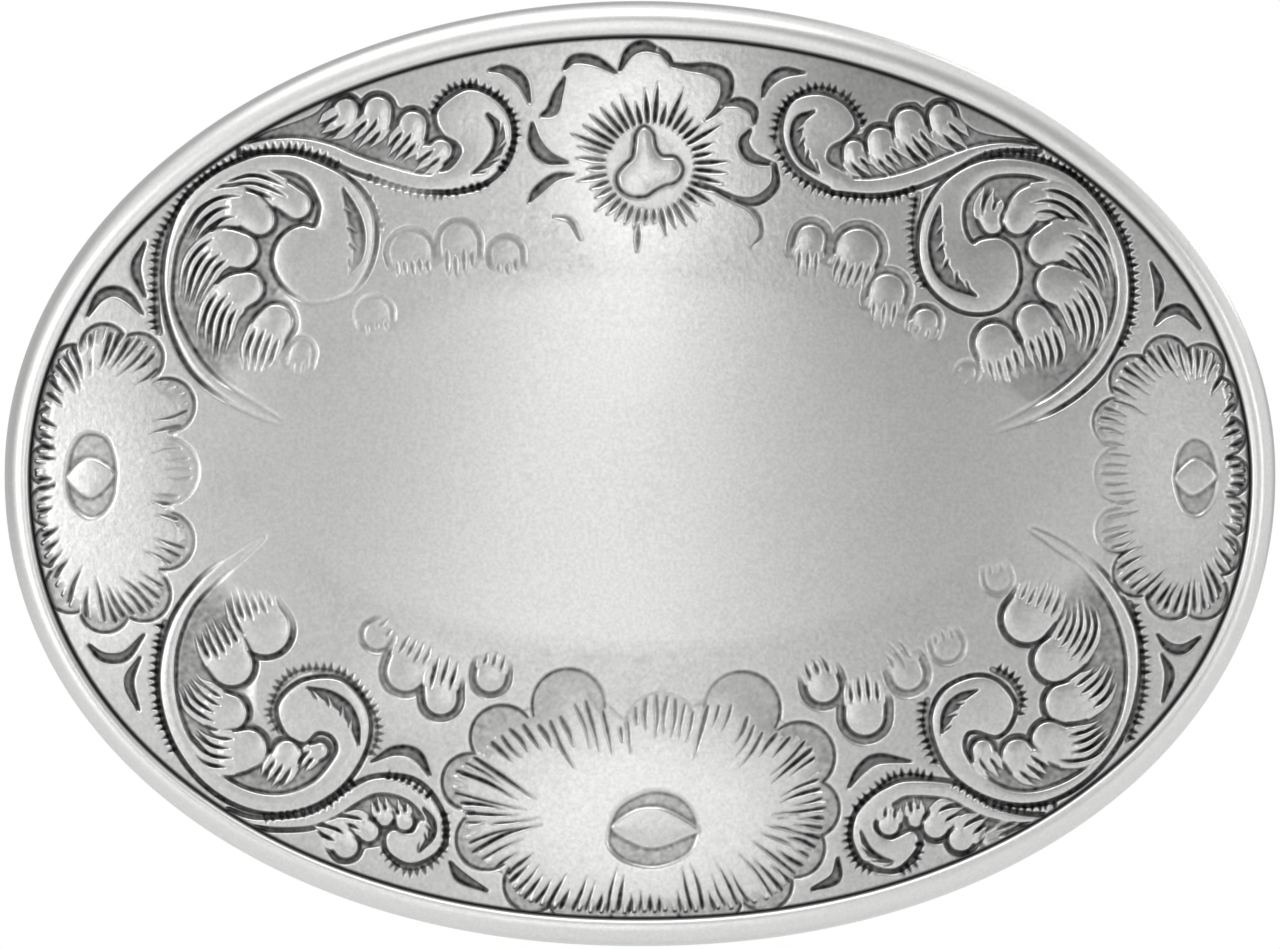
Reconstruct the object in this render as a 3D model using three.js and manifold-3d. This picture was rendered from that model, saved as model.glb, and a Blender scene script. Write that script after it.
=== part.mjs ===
// Oval western belt buckle: a domed face plate soldered into a plain polished rim, a sheet back plate, and on
// the back a swinging strap bail in a riveted clip and a riveted belt hook.
// Millimetres. +Z is up and -Y is the face, as the buckle is worn; +X is the bail end. The origin is the middle
// of the back plate's rear face.
import * as THREE from "three";
import { mergeVertices } from "three/addons/utils/BufferGeometryUtils.js";
import Module from "manifold-3d";

// ---- Driving dimensions ------------------------------------------------------------------------------------

const WIDTH = 95; // overall, along X
const HEIGHT = 70.3; // overall, along Z
const BEND_RADIUS = 226; // the whole buckle curves round the waist about a vertical axis
const UPPER_FULLNESS = 2.0; // superellipse exponent of the outline above its middle; 2 is a true ellipse
const LOWER_FULLNESS = 2.1; // and below it, where the oval is a little fuller

const RIM_SIDE = 1.95; // the rim's width at the two ends
const RIM_TOP = 2.7; // at the top
const RIM_BOTTOM = 2.1; // at the bottom
const RIM_DEPTH = 4.4; // front to back
const SOLDER_GAP = 0.15; // between the rim and the plates that it holds
const SEAT_GAP = 0.2; // between pieces that rest on each other

const BACK_THICKNESS = 0.9;
const FACE_THICKNESS = 1.2;
const FACE_SUNK = 0.7; // from the rim's crest down to the face plate's border
const FACE_DOME = 1.4; // how far the middle of the face stands out from its border

const STRAP_WIDTH = 38; // the 1 1/2 inch belt that the bail takes
const STRAP_PLAY = 1.25; // between the strap and each side leg
const WIRE_RADIUS = 1.5;
const WIRE_PLAY = 0.2; // round the wire in the clip
const BAIL_REACH = 18.5; // hinge axis to the middle of the outer leg
const BAIL_CORNER = 4; // radius of the wire's centreline at its corners
const BAIL_LIFT = 21; // degrees off +X at which a strap's thickness holds the bail
const WIRE_ENDS_GAP = 0.6; // the wire's two ends meet inside the clip

const CLIP_X = 18;
const CLIP_LENGTH = 34;
const CLIP_SHEET = 1.0;
const CLIP_FLANGE = 4.4;

const HOOK_X = -27;
const HOOK_BASE = { width: 11, height: 17, thickness: 1.2, corner: 3.5 };
const HOOK_SHANK_RADIUS = 1.6;
const HOOK_HEAD_RADIUS = 2.4; // peened over inside the buckle
const HOOK_COLLAR_RADIUS = 3.0; // the shoulder that seats on the base
const HOOK_PRONG_RADIUS = 2.0;
const HOOK_RISE = 5.2; // straight part of the prong, before its bend
const HOOK_BEND = 2.6; // radius of the bend
const HOOK_TONGUE = 4.6; // length beyond the bend
const HOOK_TONGUE_RISE = 0.35; // its tip stands this much further out
const HOOK_TIP_RADIUS = 2.35;

const RIVET = { shank: 1.0, head: 1.55, headHeight: 0.8, dome: 0.75, hole: 1.15 };
const CLIP_RIVET_Z = 12;
const HOOK_RIVET_Z = 5.9;

const OVAL_SEGMENTS = 72;
const ROUND_SEGMENTS = 14;
const DRILL_LENGTH = 8; // long enough to go through every sheet

// ---- Materials ---------------------------------------------------------------------------------------------

const metal = (color, roughness) => new THREE.MeshStandardMaterial({ color, roughness, metalness: 1 });
const antiqueSilver = metal(0xb4b3b0, 0.42);
const polishedSilver = metal(0xd2d2cf, 0.25);
const satinSilver = metal(0xbdbcb8, 0.38);
const platedSteel = metal(0xc4c4c2, 0.22);

// ---- The buckle's oval and its bend ------------------------------------------------------------------------

const bendDepth = (x) => (x * x) / (2 * BEND_RADIUS);
const bendAngle = (x) => Math.atan(x / BEND_RADIUS);

// A point of an oval at angle t. Its lower half is a fuller superellipse than its upper half.
function ovalPoint(t, halfWidth, halfHeight, middleZ) {
  const [c, s] = [Math.cos(t), Math.sin(t)];
  const power = 2 / (s < 0 ? LOWER_FULLNESS : UPPER_FULLNESS);
  return {
    x: halfWidth * Math.sign(c) * Math.abs(c) ** power,
    z: middleZ + halfHeight * Math.sign(s) * Math.abs(s) ** power,
  };
}

const outerOval = (t) => ovalPoint(t, WIDTH / 2, HEIGHT / 2, 0);
const fieldHalfHeight = (HEIGHT - RIM_TOP - RIM_BOTTOM) / 2;
const fieldMiddleZ = (RIM_BOTTOM - RIM_TOP) / 2;
const fieldOval = (t, shrink = 0) =>
  ovalPoint(t, WIDTH / 2 - RIM_SIDE - shrink, fieldHalfHeight - shrink, fieldMiddleZ);

// Turns a profile of [radius, depth] about Y, then lets place(angle, radius) move each point in X and Z, and
// lays the result on the buckle's bend.
function turnedOval(profile, place) {
  const points = profile.map(([radius, depth]) => new THREE.Vector2(radius, depth));
  const geometry = new THREE.LatheGeometry(points, OVAL_SEGMENTS);
  const position = geometry.getAttribute("position");
  for (let i = 0; i < position.count; i++) {
    const [x, y, z] = [position.getX(i), position.getY(i), position.getZ(i)];
    const spot = place(Math.atan2(z, x), Math.hypot(x, z));
    position.setXYZ(i, spot.x, y + bendDepth(spot.x), spot.z);
  }
  return geometry;
}

// A plate that fills the field: radius 1 is its edge, clear of the rim by the solder gap.
const plateOval = (profile) =>
  turnedOval(profile, (t, radius) => {
    const edge = fieldOval(t, SOLDER_GAP);
    return { x: edge.x * radius, z: fieldMiddleZ + (edge.z - fieldMiddleZ) * radius };
  });

// A band round the field: radius 1 is its inner wall and radius 2 the buckle's outline.
const bandOval = (profile) =>
  turnedOval(profile, (t, radius) => {
    const [inner, outer, share] = [fieldOval(t), outerOval(t), radius - 1];
    return { x: inner.x + (outer.x - inner.x) * share, z: inner.z + (outer.z - inner.z) * share };
  });

// ---- Solids, for holes and joins ---------------------------------------------------------------------------

const wasm = await Module();
wasm.setup();

function solidOf(geometry) {
  const bare = geometry.clone();
  bare.deleteAttribute("normal");
  bare.deleteAttribute("uv");
  const merged = mergeVertices(bare, 1e-3);
  return new wasm.Manifold(
    new wasm.Mesh({
      numProp: 3,
      vertProperties: merged.getAttribute("position").array,
      triVerts: new Uint32Array(merged.getIndex().array),
    }),
  );
}

function geometryOf(solid) {
  const mesh = solid.getMesh();
  const geometry = new THREE.BufferGeometry();
  geometry.setAttribute("position", new THREE.BufferAttribute(mesh.vertProperties, 3));
  geometry.setIndex(new THREE.BufferAttribute(mesh.triVerts, 1));
  geometry.computeVertexNormals();
  return geometry;
}

// A round rod through the sheet metal at each (x, z) spot of a seat's own frame.
function drills(radius, spots, seat) {
  return spots.map(([x, z]) => {
    const rod = new THREE.CylinderGeometry(radius, radius, DRILL_LENGTH, ROUND_SEGMENTS).translate(x, 0, z);
    return seat ? rod.applyMatrix4(seat.matrixWorld) : rod;
  });
}

const withHoles = (geometry, rods) =>
  geometryOf(rods.reduce((solid, rod) => solid.subtract(solidOf(rod)), solidOf(geometry)));

const turned = (profile, segments = ROUND_SEGMENTS) =>
  new THREE.LatheGeometry(profile.map(([radius, depth]) => new THREE.Vector2(radius, depth)), segments);

// ---- The plates and the rim --------------------------------------------------------------------------------

const rimCrest = -RIM_DEPTH;
const faceBorder = rimCrest + FACE_SUNK;

function rimGeometry() {
  const crest = [
    [1.0, rimCrest + 0.35],
    [1.12, rimCrest + 0.06],
    [1.35, rimCrest],
    [1.65, rimCrest + 0.22],
    [1.88, rimCrest + 0.75],
    [2.0, rimCrest + 1.5],
  ];
  return bandOval([[1, 0], ...crest, [2, -0.25], [1.9, 0], [1, 0]]);
}

function faceGeometry() {
  const steps = 6;
  const dome = (share) => faceBorder - FACE_DOME * (1 - share * share);
  const shares = Array.from({ length: steps + 1 }, (_, i) => i / steps);
  const front = shares.map((share) => [share, dome(share)]);
  const rear = shares.map((share) => [share, dome(share) + FACE_THICKNESS]).reverse();
  return plateOval([...front, ...rear]);
}

function backGeometry(clipSeat, hookSeat) {
  const shares = [0, 0.17, 0.34, 0.5, 0.67, 0.84, 1];
  const front = shares.map((share) => [share, -BACK_THICKNESS]);
  const rear = shares.map((share) => [share, 0]).reverse();
  return withHoles(plateOval([...front, ...rear]), [
    ...drills(RIVET.hole, clipRivetSpots, clipSeat),
    ...drills(RIVET.hole, hookRivetSpots, hookSeat),
    ...drills(HOOK_SHANK_RADIUS + SEAT_GAP, [[0, 0]], hookSeat),
  ]);
}

// ---- The strap bail and its clip ---------------------------------------------------------------------------

const tunnelRadius = WIRE_RADIUS + WIRE_PLAY;
const axisHeight = SEAT_GAP + tunnelRadius;
const archRadius = tunnelRadius + CLIP_SHEET;
const clipRivetX = archRadius + CLIP_FLANGE / 2;
const clipRivetSpots = [-1, 1].flatMap((side) => [-1, 1].map((end) => [side * clipRivetX, end * CLIP_RIVET_Z]));
const hookRivetSpots = [-1, 1].map((end) => [0, end * HOOK_RIVET_Z]);

// The clip's section: flange, arch over the wire, flange, all of one sheet.
function clipGeometry() {
  const edge = archRadius + CLIP_FLANGE;
  const top = SEAT_GAP + CLIP_SHEET;
  const outerStart = Math.asin((top - axisHeight) / archRadius);
  const section = new THREE.Shape();
  section.moveTo(edge, SEAT_GAP);
  section.lineTo(edge, top);
  section.absarc(0, axisHeight, archRadius, outerStart, Math.PI - outerStart, false);
  section.lineTo(-edge, top);
  section.lineTo(-edge, SEAT_GAP);
  section.lineTo(-tunnelRadius, SEAT_GAP);
  section.absarc(0, axisHeight, tunnelRadius, Math.PI, 0, true);
  section.lineTo(tunnelRadius, SEAT_GAP);
  section.closePath();
  const options = { depth: CLIP_LENGTH, bevelEnabled: false, curveSegments: 12 };
  const sheet = new THREE.ExtrudeGeometry(section, options);
  sheet.translate(0, 0, -CLIP_LENGTH / 2);
  return withHoles(sheet, drills(RIVET.hole, clipRivetSpots));
}

// A quarter turn in the bail's own X-Z plane, for a CurvePath.
class Corner extends THREE.Curve {
  constructor(x, z, from, to) {
    super();
    Object.assign(this, { x, z, from, to });
  }
  getPoint(t, target = new THREE.Vector3()) {
    const a = this.from + (this.to - this.from) * t;
    return target.set(this.x + BAIL_CORNER * Math.cos(a), 0, this.z + BAIL_CORNER * Math.sin(a));
  }
}

// One wire, bent to a loop from the middle of the hinge leg. The hinge axis is the group's own Z axis.
function bailGeometry() {
  const leg = STRAP_WIDTH / 2 + STRAP_PLAY + WIRE_RADIUS; // middle of the loop to the middle of a side leg
  const straight = leg - BAIL_CORNER;
  const [near, far] = [BAIL_CORNER, BAIL_REACH - BAIL_CORNER];
  const spot = (x, z) => new THREE.Vector3(x, 0, z);
  const line = (x0, z0, x1, z1) => new THREE.LineCurve3(spot(x0, z0), spot(x1, z1));
  const path = new THREE.CurvePath();
  path.add(line(0, WIRE_ENDS_GAP / 2, 0, straight));
  path.add(new Corner(near, straight, Math.PI, Math.PI / 2));
  path.add(line(near, leg, far, leg));
  path.add(new Corner(far, straight, Math.PI / 2, 0));
  path.add(line(BAIL_REACH, straight, BAIL_REACH, -straight));
  path.add(new Corner(far, -straight, 0, -Math.PI / 2));
  path.add(line(far, -leg, near, -leg));
  path.add(new Corner(near, -straight, -Math.PI / 2, -Math.PI));
  path.add(line(0, -straight, 0, -WIRE_ENDS_GAP / 2));
  const section = new THREE.Shape().absarc(0, 0, WIRE_RADIUS, 0, 2 * Math.PI, false);
  const steps = Math.round(path.getLength() / 1.3);
  return new THREE.ExtrudeGeometry(section, { extrudePath: path, steps, curveSegments: 6 });
}

// ---- The belt hook -----------------------------------------------------------------------------------------

function hookBaseGeometry() {
  const { width, height, thickness, corner } = HOOK_BASE;
  const [x, z] = [width / 2, height / 2];
  const outline = new THREE.Shape();
  outline.moveTo(x, -z + corner);
  outline.absarc(x - corner, z - corner, corner, 0, Math.PI / 2, false);
  outline.absarc(corner - x, z - corner, corner, Math.PI / 2, Math.PI, false);
  outline.absarc(corner - x, corner - z, corner, Math.PI, 1.5 * Math.PI, false);
  outline.absarc(x - corner, corner - z, corner, 1.5 * Math.PI, 2 * Math.PI, false);
  const sheet = new THREE.ExtrudeGeometry(outline, { depth: thickness, bevelEnabled: false, curveSegments: 5 });
  sheet.rotateX(Math.PI / 2).translate(0, SEAT_GAP + thickness, 0);
  return withHoles(sheet, [
    ...drills(RIVET.hole, hookRivetSpots),
    ...drills(HOOK_SHANK_RADIUS + SEAT_GAP, [[0, 0]]),
  ]);
}

const hookShoulder = 2 * SEAT_GAP + HOOK_BASE.thickness;

// The prong stands on a collar, rises straight, and bends towards the buckle's end. Its shank goes down
// through both sheets to a head that is peened over inside.
function hookGeometry() {
  const inside = -BACK_THICKNESS - SEAT_GAP;
  const post = turned([
    [0, inside - RIVET.headHeight],
    [HOOK_HEAD_RADIUS - 0.2, inside - RIVET.headHeight],
    [HOOK_HEAD_RADIUS, inside],
    [HOOK_SHANK_RADIUS, inside],
    [HOOK_SHANK_RADIUS, hookShoulder],
    [HOOK_COLLAR_RADIUS, hookShoulder],
    [HOOK_COLLAR_RADIUS - 0.2, hookShoulder + 0.6],
    [HOOK_PRONG_RADIUS, hookShoulder + 1.0],
    [HOOK_PRONG_RADIUS, hookShoulder + 2],
    [0, hookShoulder + 2],
  ]);
  const bendStart = hookShoulder + HOOK_RISE;
  const start = new THREE.Vector3(0, hookShoulder + 0.5, 0);
  const bend = new THREE.Vector3(0, bendStart, 0);
  const bendEnd = new THREE.Vector3(-HOOK_BEND, bendStart + HOOK_BEND, 0);
  const tip = new THREE.Vector3(bendEnd.x - HOOK_TONGUE, bendEnd.y + HOOK_TONGUE_RISE, 0);
  const path = new THREE.CurvePath();
  const elbow = new THREE.Vector3(0, bendEnd.y, 0);
  path.add(new THREE.LineCurve3(start, bend));
  path.add(new THREE.QuadraticBezierCurve3(bend, elbow, bendEnd));
  path.add(new THREE.LineCurve3(bendEnd, tip));
  const section = new THREE.Shape().absarc(0, 0, HOOK_PRONG_RADIUS, 0, 2 * Math.PI, false);
  const prong = new THREE.ExtrudeGeometry(section, { extrudePath: path, steps: 14, curveSegments: 7 });
  const bulb = new THREE.SphereGeometry(HOOK_TIP_RADIUS, ROUND_SEGMENTS, 10).translate(tip.x, tip.y, tip.z);
  return geometryOf(solidOf(post).add(solidOf(prong)).add(solidOf(bulb)));
}

// ---- Rivets ------------------------------------------------------------------------------------------------

// Its flat head is inside the buckle, and its domed tail is closed over the sheet outside.
function rivetGeometry(sheetThickness) {
  const inside = -BACK_THICKNESS - SEAT_GAP;
  const outside = sheetThickness + 2 * SEAT_GAP;
  return turned([
    [0, inside - RIVET.headHeight],
    [RIVET.head, inside - RIVET.headHeight],
    [RIVET.head, inside],
    [RIVET.shank, inside],
    [RIVET.shank, outside],
    [RIVET.head, outside],
    [RIVET.head * 0.82, outside + RIVET.dome * 0.6],
    [RIVET.head * 0.45, outside + RIVET.dome * 0.93],
    [0, outside + RIVET.dome],
  ]);
}

// ---- The scene graph ---------------------------------------------------------------------------------------

const buckle = new THREE.Group();

function piece(parent, name, geometry, material, x = 0, z = 0) {
  const mesh = new THREE.Mesh(geometry, material);
  mesh.name = name;
  mesh.position.set(x, 0, z);
  parent.add(mesh);
  return mesh;
}

// A seat is a frame on the back plate's rear face at x: its Y axis is the face's normal there.
function seatAt(x) {
  const seat = new THREE.Group();
  seat.position.set(x, bendDepth(x), 0);
  seat.rotation.z = bendAngle(x);
  buckle.add(seat);
  seat.updateMatrixWorld(true);
  return seat;
}

const clipSeat = seatAt(CLIP_X);
const hookSeat = seatAt(HOOK_X);

piece(buckle, "rim_band", rimGeometry(), polishedSilver);
piece(buckle, "face_plate", faceGeometry(), antiqueSilver);
piece(buckle, "back_plate", backGeometry(clipSeat, hookSeat), satinSilver);

piece(clipSeat, "bail_clip", clipGeometry(), satinSilver);
clipRivetSpots.forEach(([x, z], i) =>
  piece(clipSeat, `clip_rivet_${i + 1}`, rivetGeometry(CLIP_SHEET), platedSteel, x, z),
);
const bail = piece(clipSeat, "strap_bail", bailGeometry(), platedSteel);
bail.position.y = axisHeight;
bail.rotation.z = THREE.MathUtils.degToRad(BAIL_LIFT) - clipSeat.rotation.z;

piece(hookSeat, "hook_base", hookBaseGeometry(), satinSilver);
piece(hookSeat, "belt_hook", hookGeometry(), platedSteel);
hookRivetSpots.forEach(([x, z], i) =>
  piece(hookSeat, `hook_rivet_${i + 1}`, rivetGeometry(HOOK_BASE.thickness), platedSteel, x, z),
);

export default buckle;
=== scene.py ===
"""The oval western belt buckle: fine surfaces, finishes, lights and camera, in the CAD part's frame.

Shapes are built in millimetres and become metres in mesh_object().
The floor, the lights and the camera are in metres.
"""
import math

import bmesh
import bpy
import numpy as np
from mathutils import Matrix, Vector


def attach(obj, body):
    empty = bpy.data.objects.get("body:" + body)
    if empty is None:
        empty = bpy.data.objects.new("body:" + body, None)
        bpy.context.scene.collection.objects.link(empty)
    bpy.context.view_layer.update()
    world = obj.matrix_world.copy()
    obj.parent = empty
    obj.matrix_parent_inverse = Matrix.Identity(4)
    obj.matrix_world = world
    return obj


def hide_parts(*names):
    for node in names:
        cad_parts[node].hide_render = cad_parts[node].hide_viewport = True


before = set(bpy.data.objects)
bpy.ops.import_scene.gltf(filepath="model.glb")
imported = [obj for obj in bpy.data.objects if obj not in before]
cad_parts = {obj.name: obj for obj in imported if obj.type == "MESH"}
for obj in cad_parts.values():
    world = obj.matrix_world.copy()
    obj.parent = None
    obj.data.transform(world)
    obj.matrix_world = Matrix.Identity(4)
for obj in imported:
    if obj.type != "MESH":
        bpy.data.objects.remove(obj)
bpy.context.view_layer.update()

MM = 0.001
BEND_RADIUS = 226.0
FIELD = (45.55, 32.75, -0.3)      # half width, half height and middle of the oval inside the rim
OUTER = (47.5, 35.15, 0.0)
EDGE_GAP = 0.02                   # between the edge of a sheet and the rim
DOME = 1.4
FACE_FRONT = -3.7                 # the front of the face at its edge
FACE_THICKNESS = 1.2
BACK_FRONT = -0.9                 # the back plate's front; its rear is at 0


# ---- Shape helpers ----

def oval(half, theta):
    """Points of one of the buckle's ovals: elliptical above its middle, a little squarer below."""
    a, b, middle = half
    c, s = np.cos(theta), np.sin(theta)
    power = np.where(s >= 0, 1.0, 2 / 2.1)
    x = a * np.sign(c) * np.abs(c) ** power
    z = middle + b * np.sign(s) * np.abs(s) ** power
    return x, z


def bent(x, y, z):
    """Points at x, y and z, moved back to follow the plate's bend round the waist."""
    return np.stack([x, y + x * x / (2 * BEND_RADIUS), z], axis=1)


def mesh_object(name, points, faces):
    """A smooth-shaded object from points in millimetres."""
    mesh = bpy.data.meshes.new(name)
    mesh.from_pydata((np.asarray(points) * MM).tolist(), [], [list(map(int, f)) for f in faces])
    mesh.validate()
    mesh.update()
    mesh.polygons.foreach_set("use_smooth", np.ones(len(mesh.polygons), bool))
    made = bpy.data.objects.new(name, mesh)
    bpy.context.scene.collection.objects.link(made)
    return made


def loft(name, rings, caps=False):
    """A skin over rings of points, whose ends are capped, or else joined to each other."""
    rings = np.asarray(rings)
    count, around = rings.shape[:2]
    faces = []
    for i in range(count - 1 if caps else count):
        here, there = i * around, (i + 1) % count * around
        for j in range(around):
            k = (j + 1) % around
            faces.append((here + j, here + k, there + k, there + j))
    if caps:
        faces.append(tuple(range(around))[::-1])
        faces.append(tuple(range((count - 1) * around, count * around)))
    return mesh_object(name, rings.reshape(-1, 3), faces)


def set_tone(made, values):
    """Stores how light each point is in the layer that the silver's material reads."""
    layer = made.data.attributes.new("tone", "FLOAT", "POINT")
    layer.data.foreach_set("value", np.asarray(values, np.float32))


# ---- The graver: height and tone of the face, drawn on a fine grid across it ----

MAP_STEP = 0.05
FLOOR = -0.28            # the matte ground sunk round the leaves
FLOOR_TONE = 0.43
FLAT_TONE = 0.72
LEAF_TONE = 0.81
INK_TONE = 0.02
SATIN_TONE = 0.8         # the plain middle
WALL = 0.16              # how wide the wall of a raised shape is
FINGER_WIDTH = 0.29
TOOTH_PITCH = 0.57
STROKE_PITCH = 0.38      # between the strokes round a flower
PLAIN = (33, 17, 15)     # the plain middle: half width, and height above and below its middle
chance = np.random.default_rng(7)


def smooth(t):
    """Eases from 0 to 1 as t goes from 0 to 1."""
    t = np.clip(t, 0, 1)
    return t * t * (3 - 2 * t)


def bell(d, at, width):
    """1 where d is at, and close to 0 beyond twice the width from it."""
    return np.exp(-((d - at) / width) ** 2)


def spline(points, closed=False, spacing=0.25):
    """Points along a smooth curve through rows of x, z and any further columns."""
    p = np.array(points, float)
    if closed:
        p = np.vstack([p[-1], p, p[0], p[1]])
    else:
        p = np.vstack([2 * p[0] - p[1], p, 2 * p[-1] - p[-2]])
    rows = []
    for a, b, c, d in zip(p, p[1:], p[2:], p[3:]):
        count = max(2, math.ceil(np.hypot(*(c - b)[:2]) / spacing))
        t = np.arange(count)[:, None] / count
        bow = 2 * a - 5 * b + 4 * c - d + t * (3 * (b - c) + d - a)
        rows.append(b + 0.5 * t * (c - a + t * bow))
    if not closed:
        rows.append(p[-2:-1])
    return np.vstack(rows)


def lefts(path):
    """The left-hand normal at each point of a path."""
    d = np.gradient(path[:, :2], axis=0)
    d /= np.maximum(np.hypot(d[:, 0], d[:, 1]), 1e-9)[:, None]
    return np.stack([-d[:, 1], d[:, 0]], axis=1)


def run(path):
    """How far along a path each of its points is, from 0 to 1, and its length."""
    s = np.concatenate([[0], np.cumsum(np.hypot(*np.diff(path[:, :2], axis=0).T))])
    return s / max(s[-1], 1e-9), s[-1]


class Relief:
    """The face's height and tone on a grid, and the tools that work it."""

    def __init__(self):
        self.x = np.arange(-46, 46, MAP_STEP)
        self.z = np.arange(-34, 34, MAP_STEP)
        self.height = np.zeros((len(self.z), len(self.x)))
        self.tone = np.full_like(self.height, FLAT_TONE)

    def window(self, path, margin):
        """The part of the grid round a path, with its x and z."""
        lo = path[:, :2].min(axis=0) - margin
        hi = path[:, :2].max(axis=0) + margin
        i = np.searchsorted(self.x, [lo[0], hi[0]])
        j = np.searchsorted(self.z, [lo[1], hi[1]])
        where = (slice(*j), slice(*i))
        return where, self.x[None, where[1]], self.z[where[0], None]

    def near_line(self, path, margin=0.6, around=None):
        """Distance from a line of varying half width, and whether a point is on its left."""
        where, x, z = self.window(path if around is None else around, margin + path[:, 2].max())
        best = np.full((z.shape[0], x.shape[1]), 1e9)
        left = np.zeros_like(best, bool)
        for (ax, az, aw), (bx, bz, bw) in zip(path[:-1, :3], path[1:, :3]):
            dx, dz = bx - ax, bz - az
            t = np.clip(((x - ax) * dx + (z - az) * dz) / max(dx * dx + dz * dz, 1e-12), 0, 1)
            ox, oz = x - ax - t * dx, z - az - t * dz
            d = np.sqrt(ox * ox + oz * oz) - (aw + t * (bw - aw))
            closer = d < best
            best[closer] = d[closer]
            left[closer] = (dx * oz - dz * ox > 0)[closer]
        return where, best, left

    def near_outline(self, path, margin=0.6, around=None):
        """Signed distance from a closed outline, negative inside."""
        where, x, z = self.window(path if around is None else around, margin)
        best = np.full((z.shape[0], x.shape[1]), 1e9)
        inside = np.zeros_like(best, bool)
        for (ax, az), (bx, bz) in zip(path[:, :2], np.roll(path[:, :2], -1, axis=0)):
            dx, dz = bx - ax, bz - az
            t = np.clip(((x - ax) * dx + (z - az) * dz) / max(dx * dx + dz * dz, 1e-12), 0, 1)
            np.minimum(best, (x - ax - t * dx) ** 2 + (z - az - t * dz) ** 2, out=best)
            if az != bz:
                inside ^= ((az > z) != (bz > z)) & (x < ax + (z - az) * dx / dz)
        best = np.sqrt(best)
        return where, np.where(inside, -best, best)

    def blend(self, where, cover, height, tone):
        """Brings the height and tone towards new ones by cover, from 0 to 1."""
        self.height[where] += cover * (height - self.height[where])
        self.tone[where] += cover * (tone - self.tone[where])

    def ink(self, where, cover, depth=0.16):
        """Darkens, and cuts down by depth."""
        self.height[where] -= cover * depth
        self.tone[where] += np.clip(cover, 0, 1) * (INK_TONE - self.tone[where])

    def polish_and_highlight(self, where, cover):
        """Brightens what is worn smooth, and paints highlights where edges would catch the light."""
        self.tone[where] += np.clip(cover, 0, 1) * (1 - self.tone[where])

    def sink(self, where, d, strength):
        """Lowers what is inside to the matte floor, with a bright lip where that meets the flat: a painted
        highlight, partly rubbed bright by wear.
        """
        flat = smooth((self.height[where] + 0.2) / 0.15)
        self.blend(where, strength * smooth(0.5 - d / WALL), FLOOR, FLOOR_TONE)
        self.ink(where, 0.4 * strength * flat * bell(d, -0.05, 0.08), 0.03)
        self.polish_and_highlight(where, 0.45 * strength * flat * bell(d, 0.14, 0.09))

    def rise(self, where, d, strength, ink=0.8, crown=0.1):
        """A raised shape with a rounded top, a polished edge that is partly a painted highlight, and a dark
        foot.
        """
        self.ink(where, strength * ink * bell(d, 0.14, 0.135), 0.07)
        top = crown * (1 - np.exp(np.minimum(d, 0) / 0.5)) - 0.03
        self.blend(where, strength * smooth(0.5 - d / WALL), top, LEAF_TONE)
        self.polish_and_highlight(where, 0.85 * strength * bell(d, -0.12, 0.09))

    def cut(self, points, width, strength, start, depth=0.16):
        """One stroke of the graver, which swells to its half width and tapers off."""
        path = spline(np.array(points, float)[:, :2])
        s, _ = run(path)
        swell = np.minimum(1, np.minimum(start + 3.5 * s, 1.8 * (1 - s)))
        where, d, _ = self.near_line(np.column_stack([path, width * swell]), 0.2)
        self.ink(where, strength * smooth(0.5 - d / 0.09), depth)

    def ridge(self, points, width, strength, tone=0.9):
        """A light finger left standing between cuts, which ends in a point."""
        path = spline(np.array(points, float)[:, :2])
        s, _ = run(path)
        path = np.column_stack([path, width * np.minimum(1, 1.6 * (1.02 - s))])
        where, d, _ = self.near_line(path, 0.2)
        cover = strength * smooth(0.5 - d / 0.14)
        self.height[where] = np.maximum(self.height[where], cover * (0.02 - FLOOR) + FLOOR)
        self.tone[where] = np.maximum(self.tone[where], cover * tone)


# Each of these draws one kind of motif, in those of the passes "sink", "rise" and "mark" that it needs.

def scroll(relief, step, outline, strength=1.0, moat=0.28):
    """A strap with its leaf, inside one closed outline."""
    where, d = relief.near_outline(spline(outline, closed=True), 0.9)
    if step == "sink":
        relief.sink(where, d - moat, strength)
    if step == "rise":
        relief.rise(where, d, strength, 0.95)


def curl(relief, step, band, outline):
    """A strap of varying half width that ends in a curl."""
    path = spline(band)
    end = spline(outline, closed=True)
    around = np.vstack([path[:, :2], end])
    margin = 0.9 + path[:, 2].max()
    where, d, _ = relief.near_line(path, 0.9, around)
    _, other = relief.near_outline(end, margin, around)
    d = np.minimum(d, other)
    if step == "sink":
        relief.sink(where, d - 0.34, 1.0)
    if step == "rise":
        relief.rise(where, d, 1.0, 0.85, crown=0.07)


def painted_light_patch(relief, step, x, z, wide, high, amount):
    """An oval patch that is a little brighter (painted light) or darker (painted shade), as amount is above
    or below 0.
    """
    if step == "sink":
        away = np.hypot((relief.x[None, :] - x) / wide, (relief.z[:, None] - z) / high)
        relief.tone += amount * smooth(1.4 - away)


def hollow(relief, step, outline):
    """Sunk ground with a crisp edge."""
    if step == "sink":
        where, d = relief.near_outline(spline(outline, closed=True))
        relief.sink(where, d, 1.0)


def basin(relief, step, outline, strength=1.0):
    """The sunk ground inside a scroll or round a boss, which comes up softly at its edge."""
    if step == "sink":
        where, d = relief.near_outline(spline(outline, closed=True), 1.4)
        relief.blend(where, strength * smooth(0.5 - d / 1.6), FLOOR, FLOOR_TONE)


def eye(relief, step, outline, lids):
    """A sunk round eye with a raised almond across it."""
    where, d = relief.near_outline(spline(outline, closed=True))
    if step == "rise":
        relief.blend(where, smooth(0.5 - d / 0.5), -0.2, 0.6)
        relief.ink(where, 0.5 * bell(d, -0.1, 0.12), 0.04)
        # a faint painted highlight, partly rubbed bright by wear, round the eye's edge
        relief.polish_and_highlight(where, 0.2 * bell(d, 0.13, 0.09))
        where, d = relief.near_outline(spline(lids, closed=True))
        relief.rise(where, d, 1.0, 0.4, crown=0.06)


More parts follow.
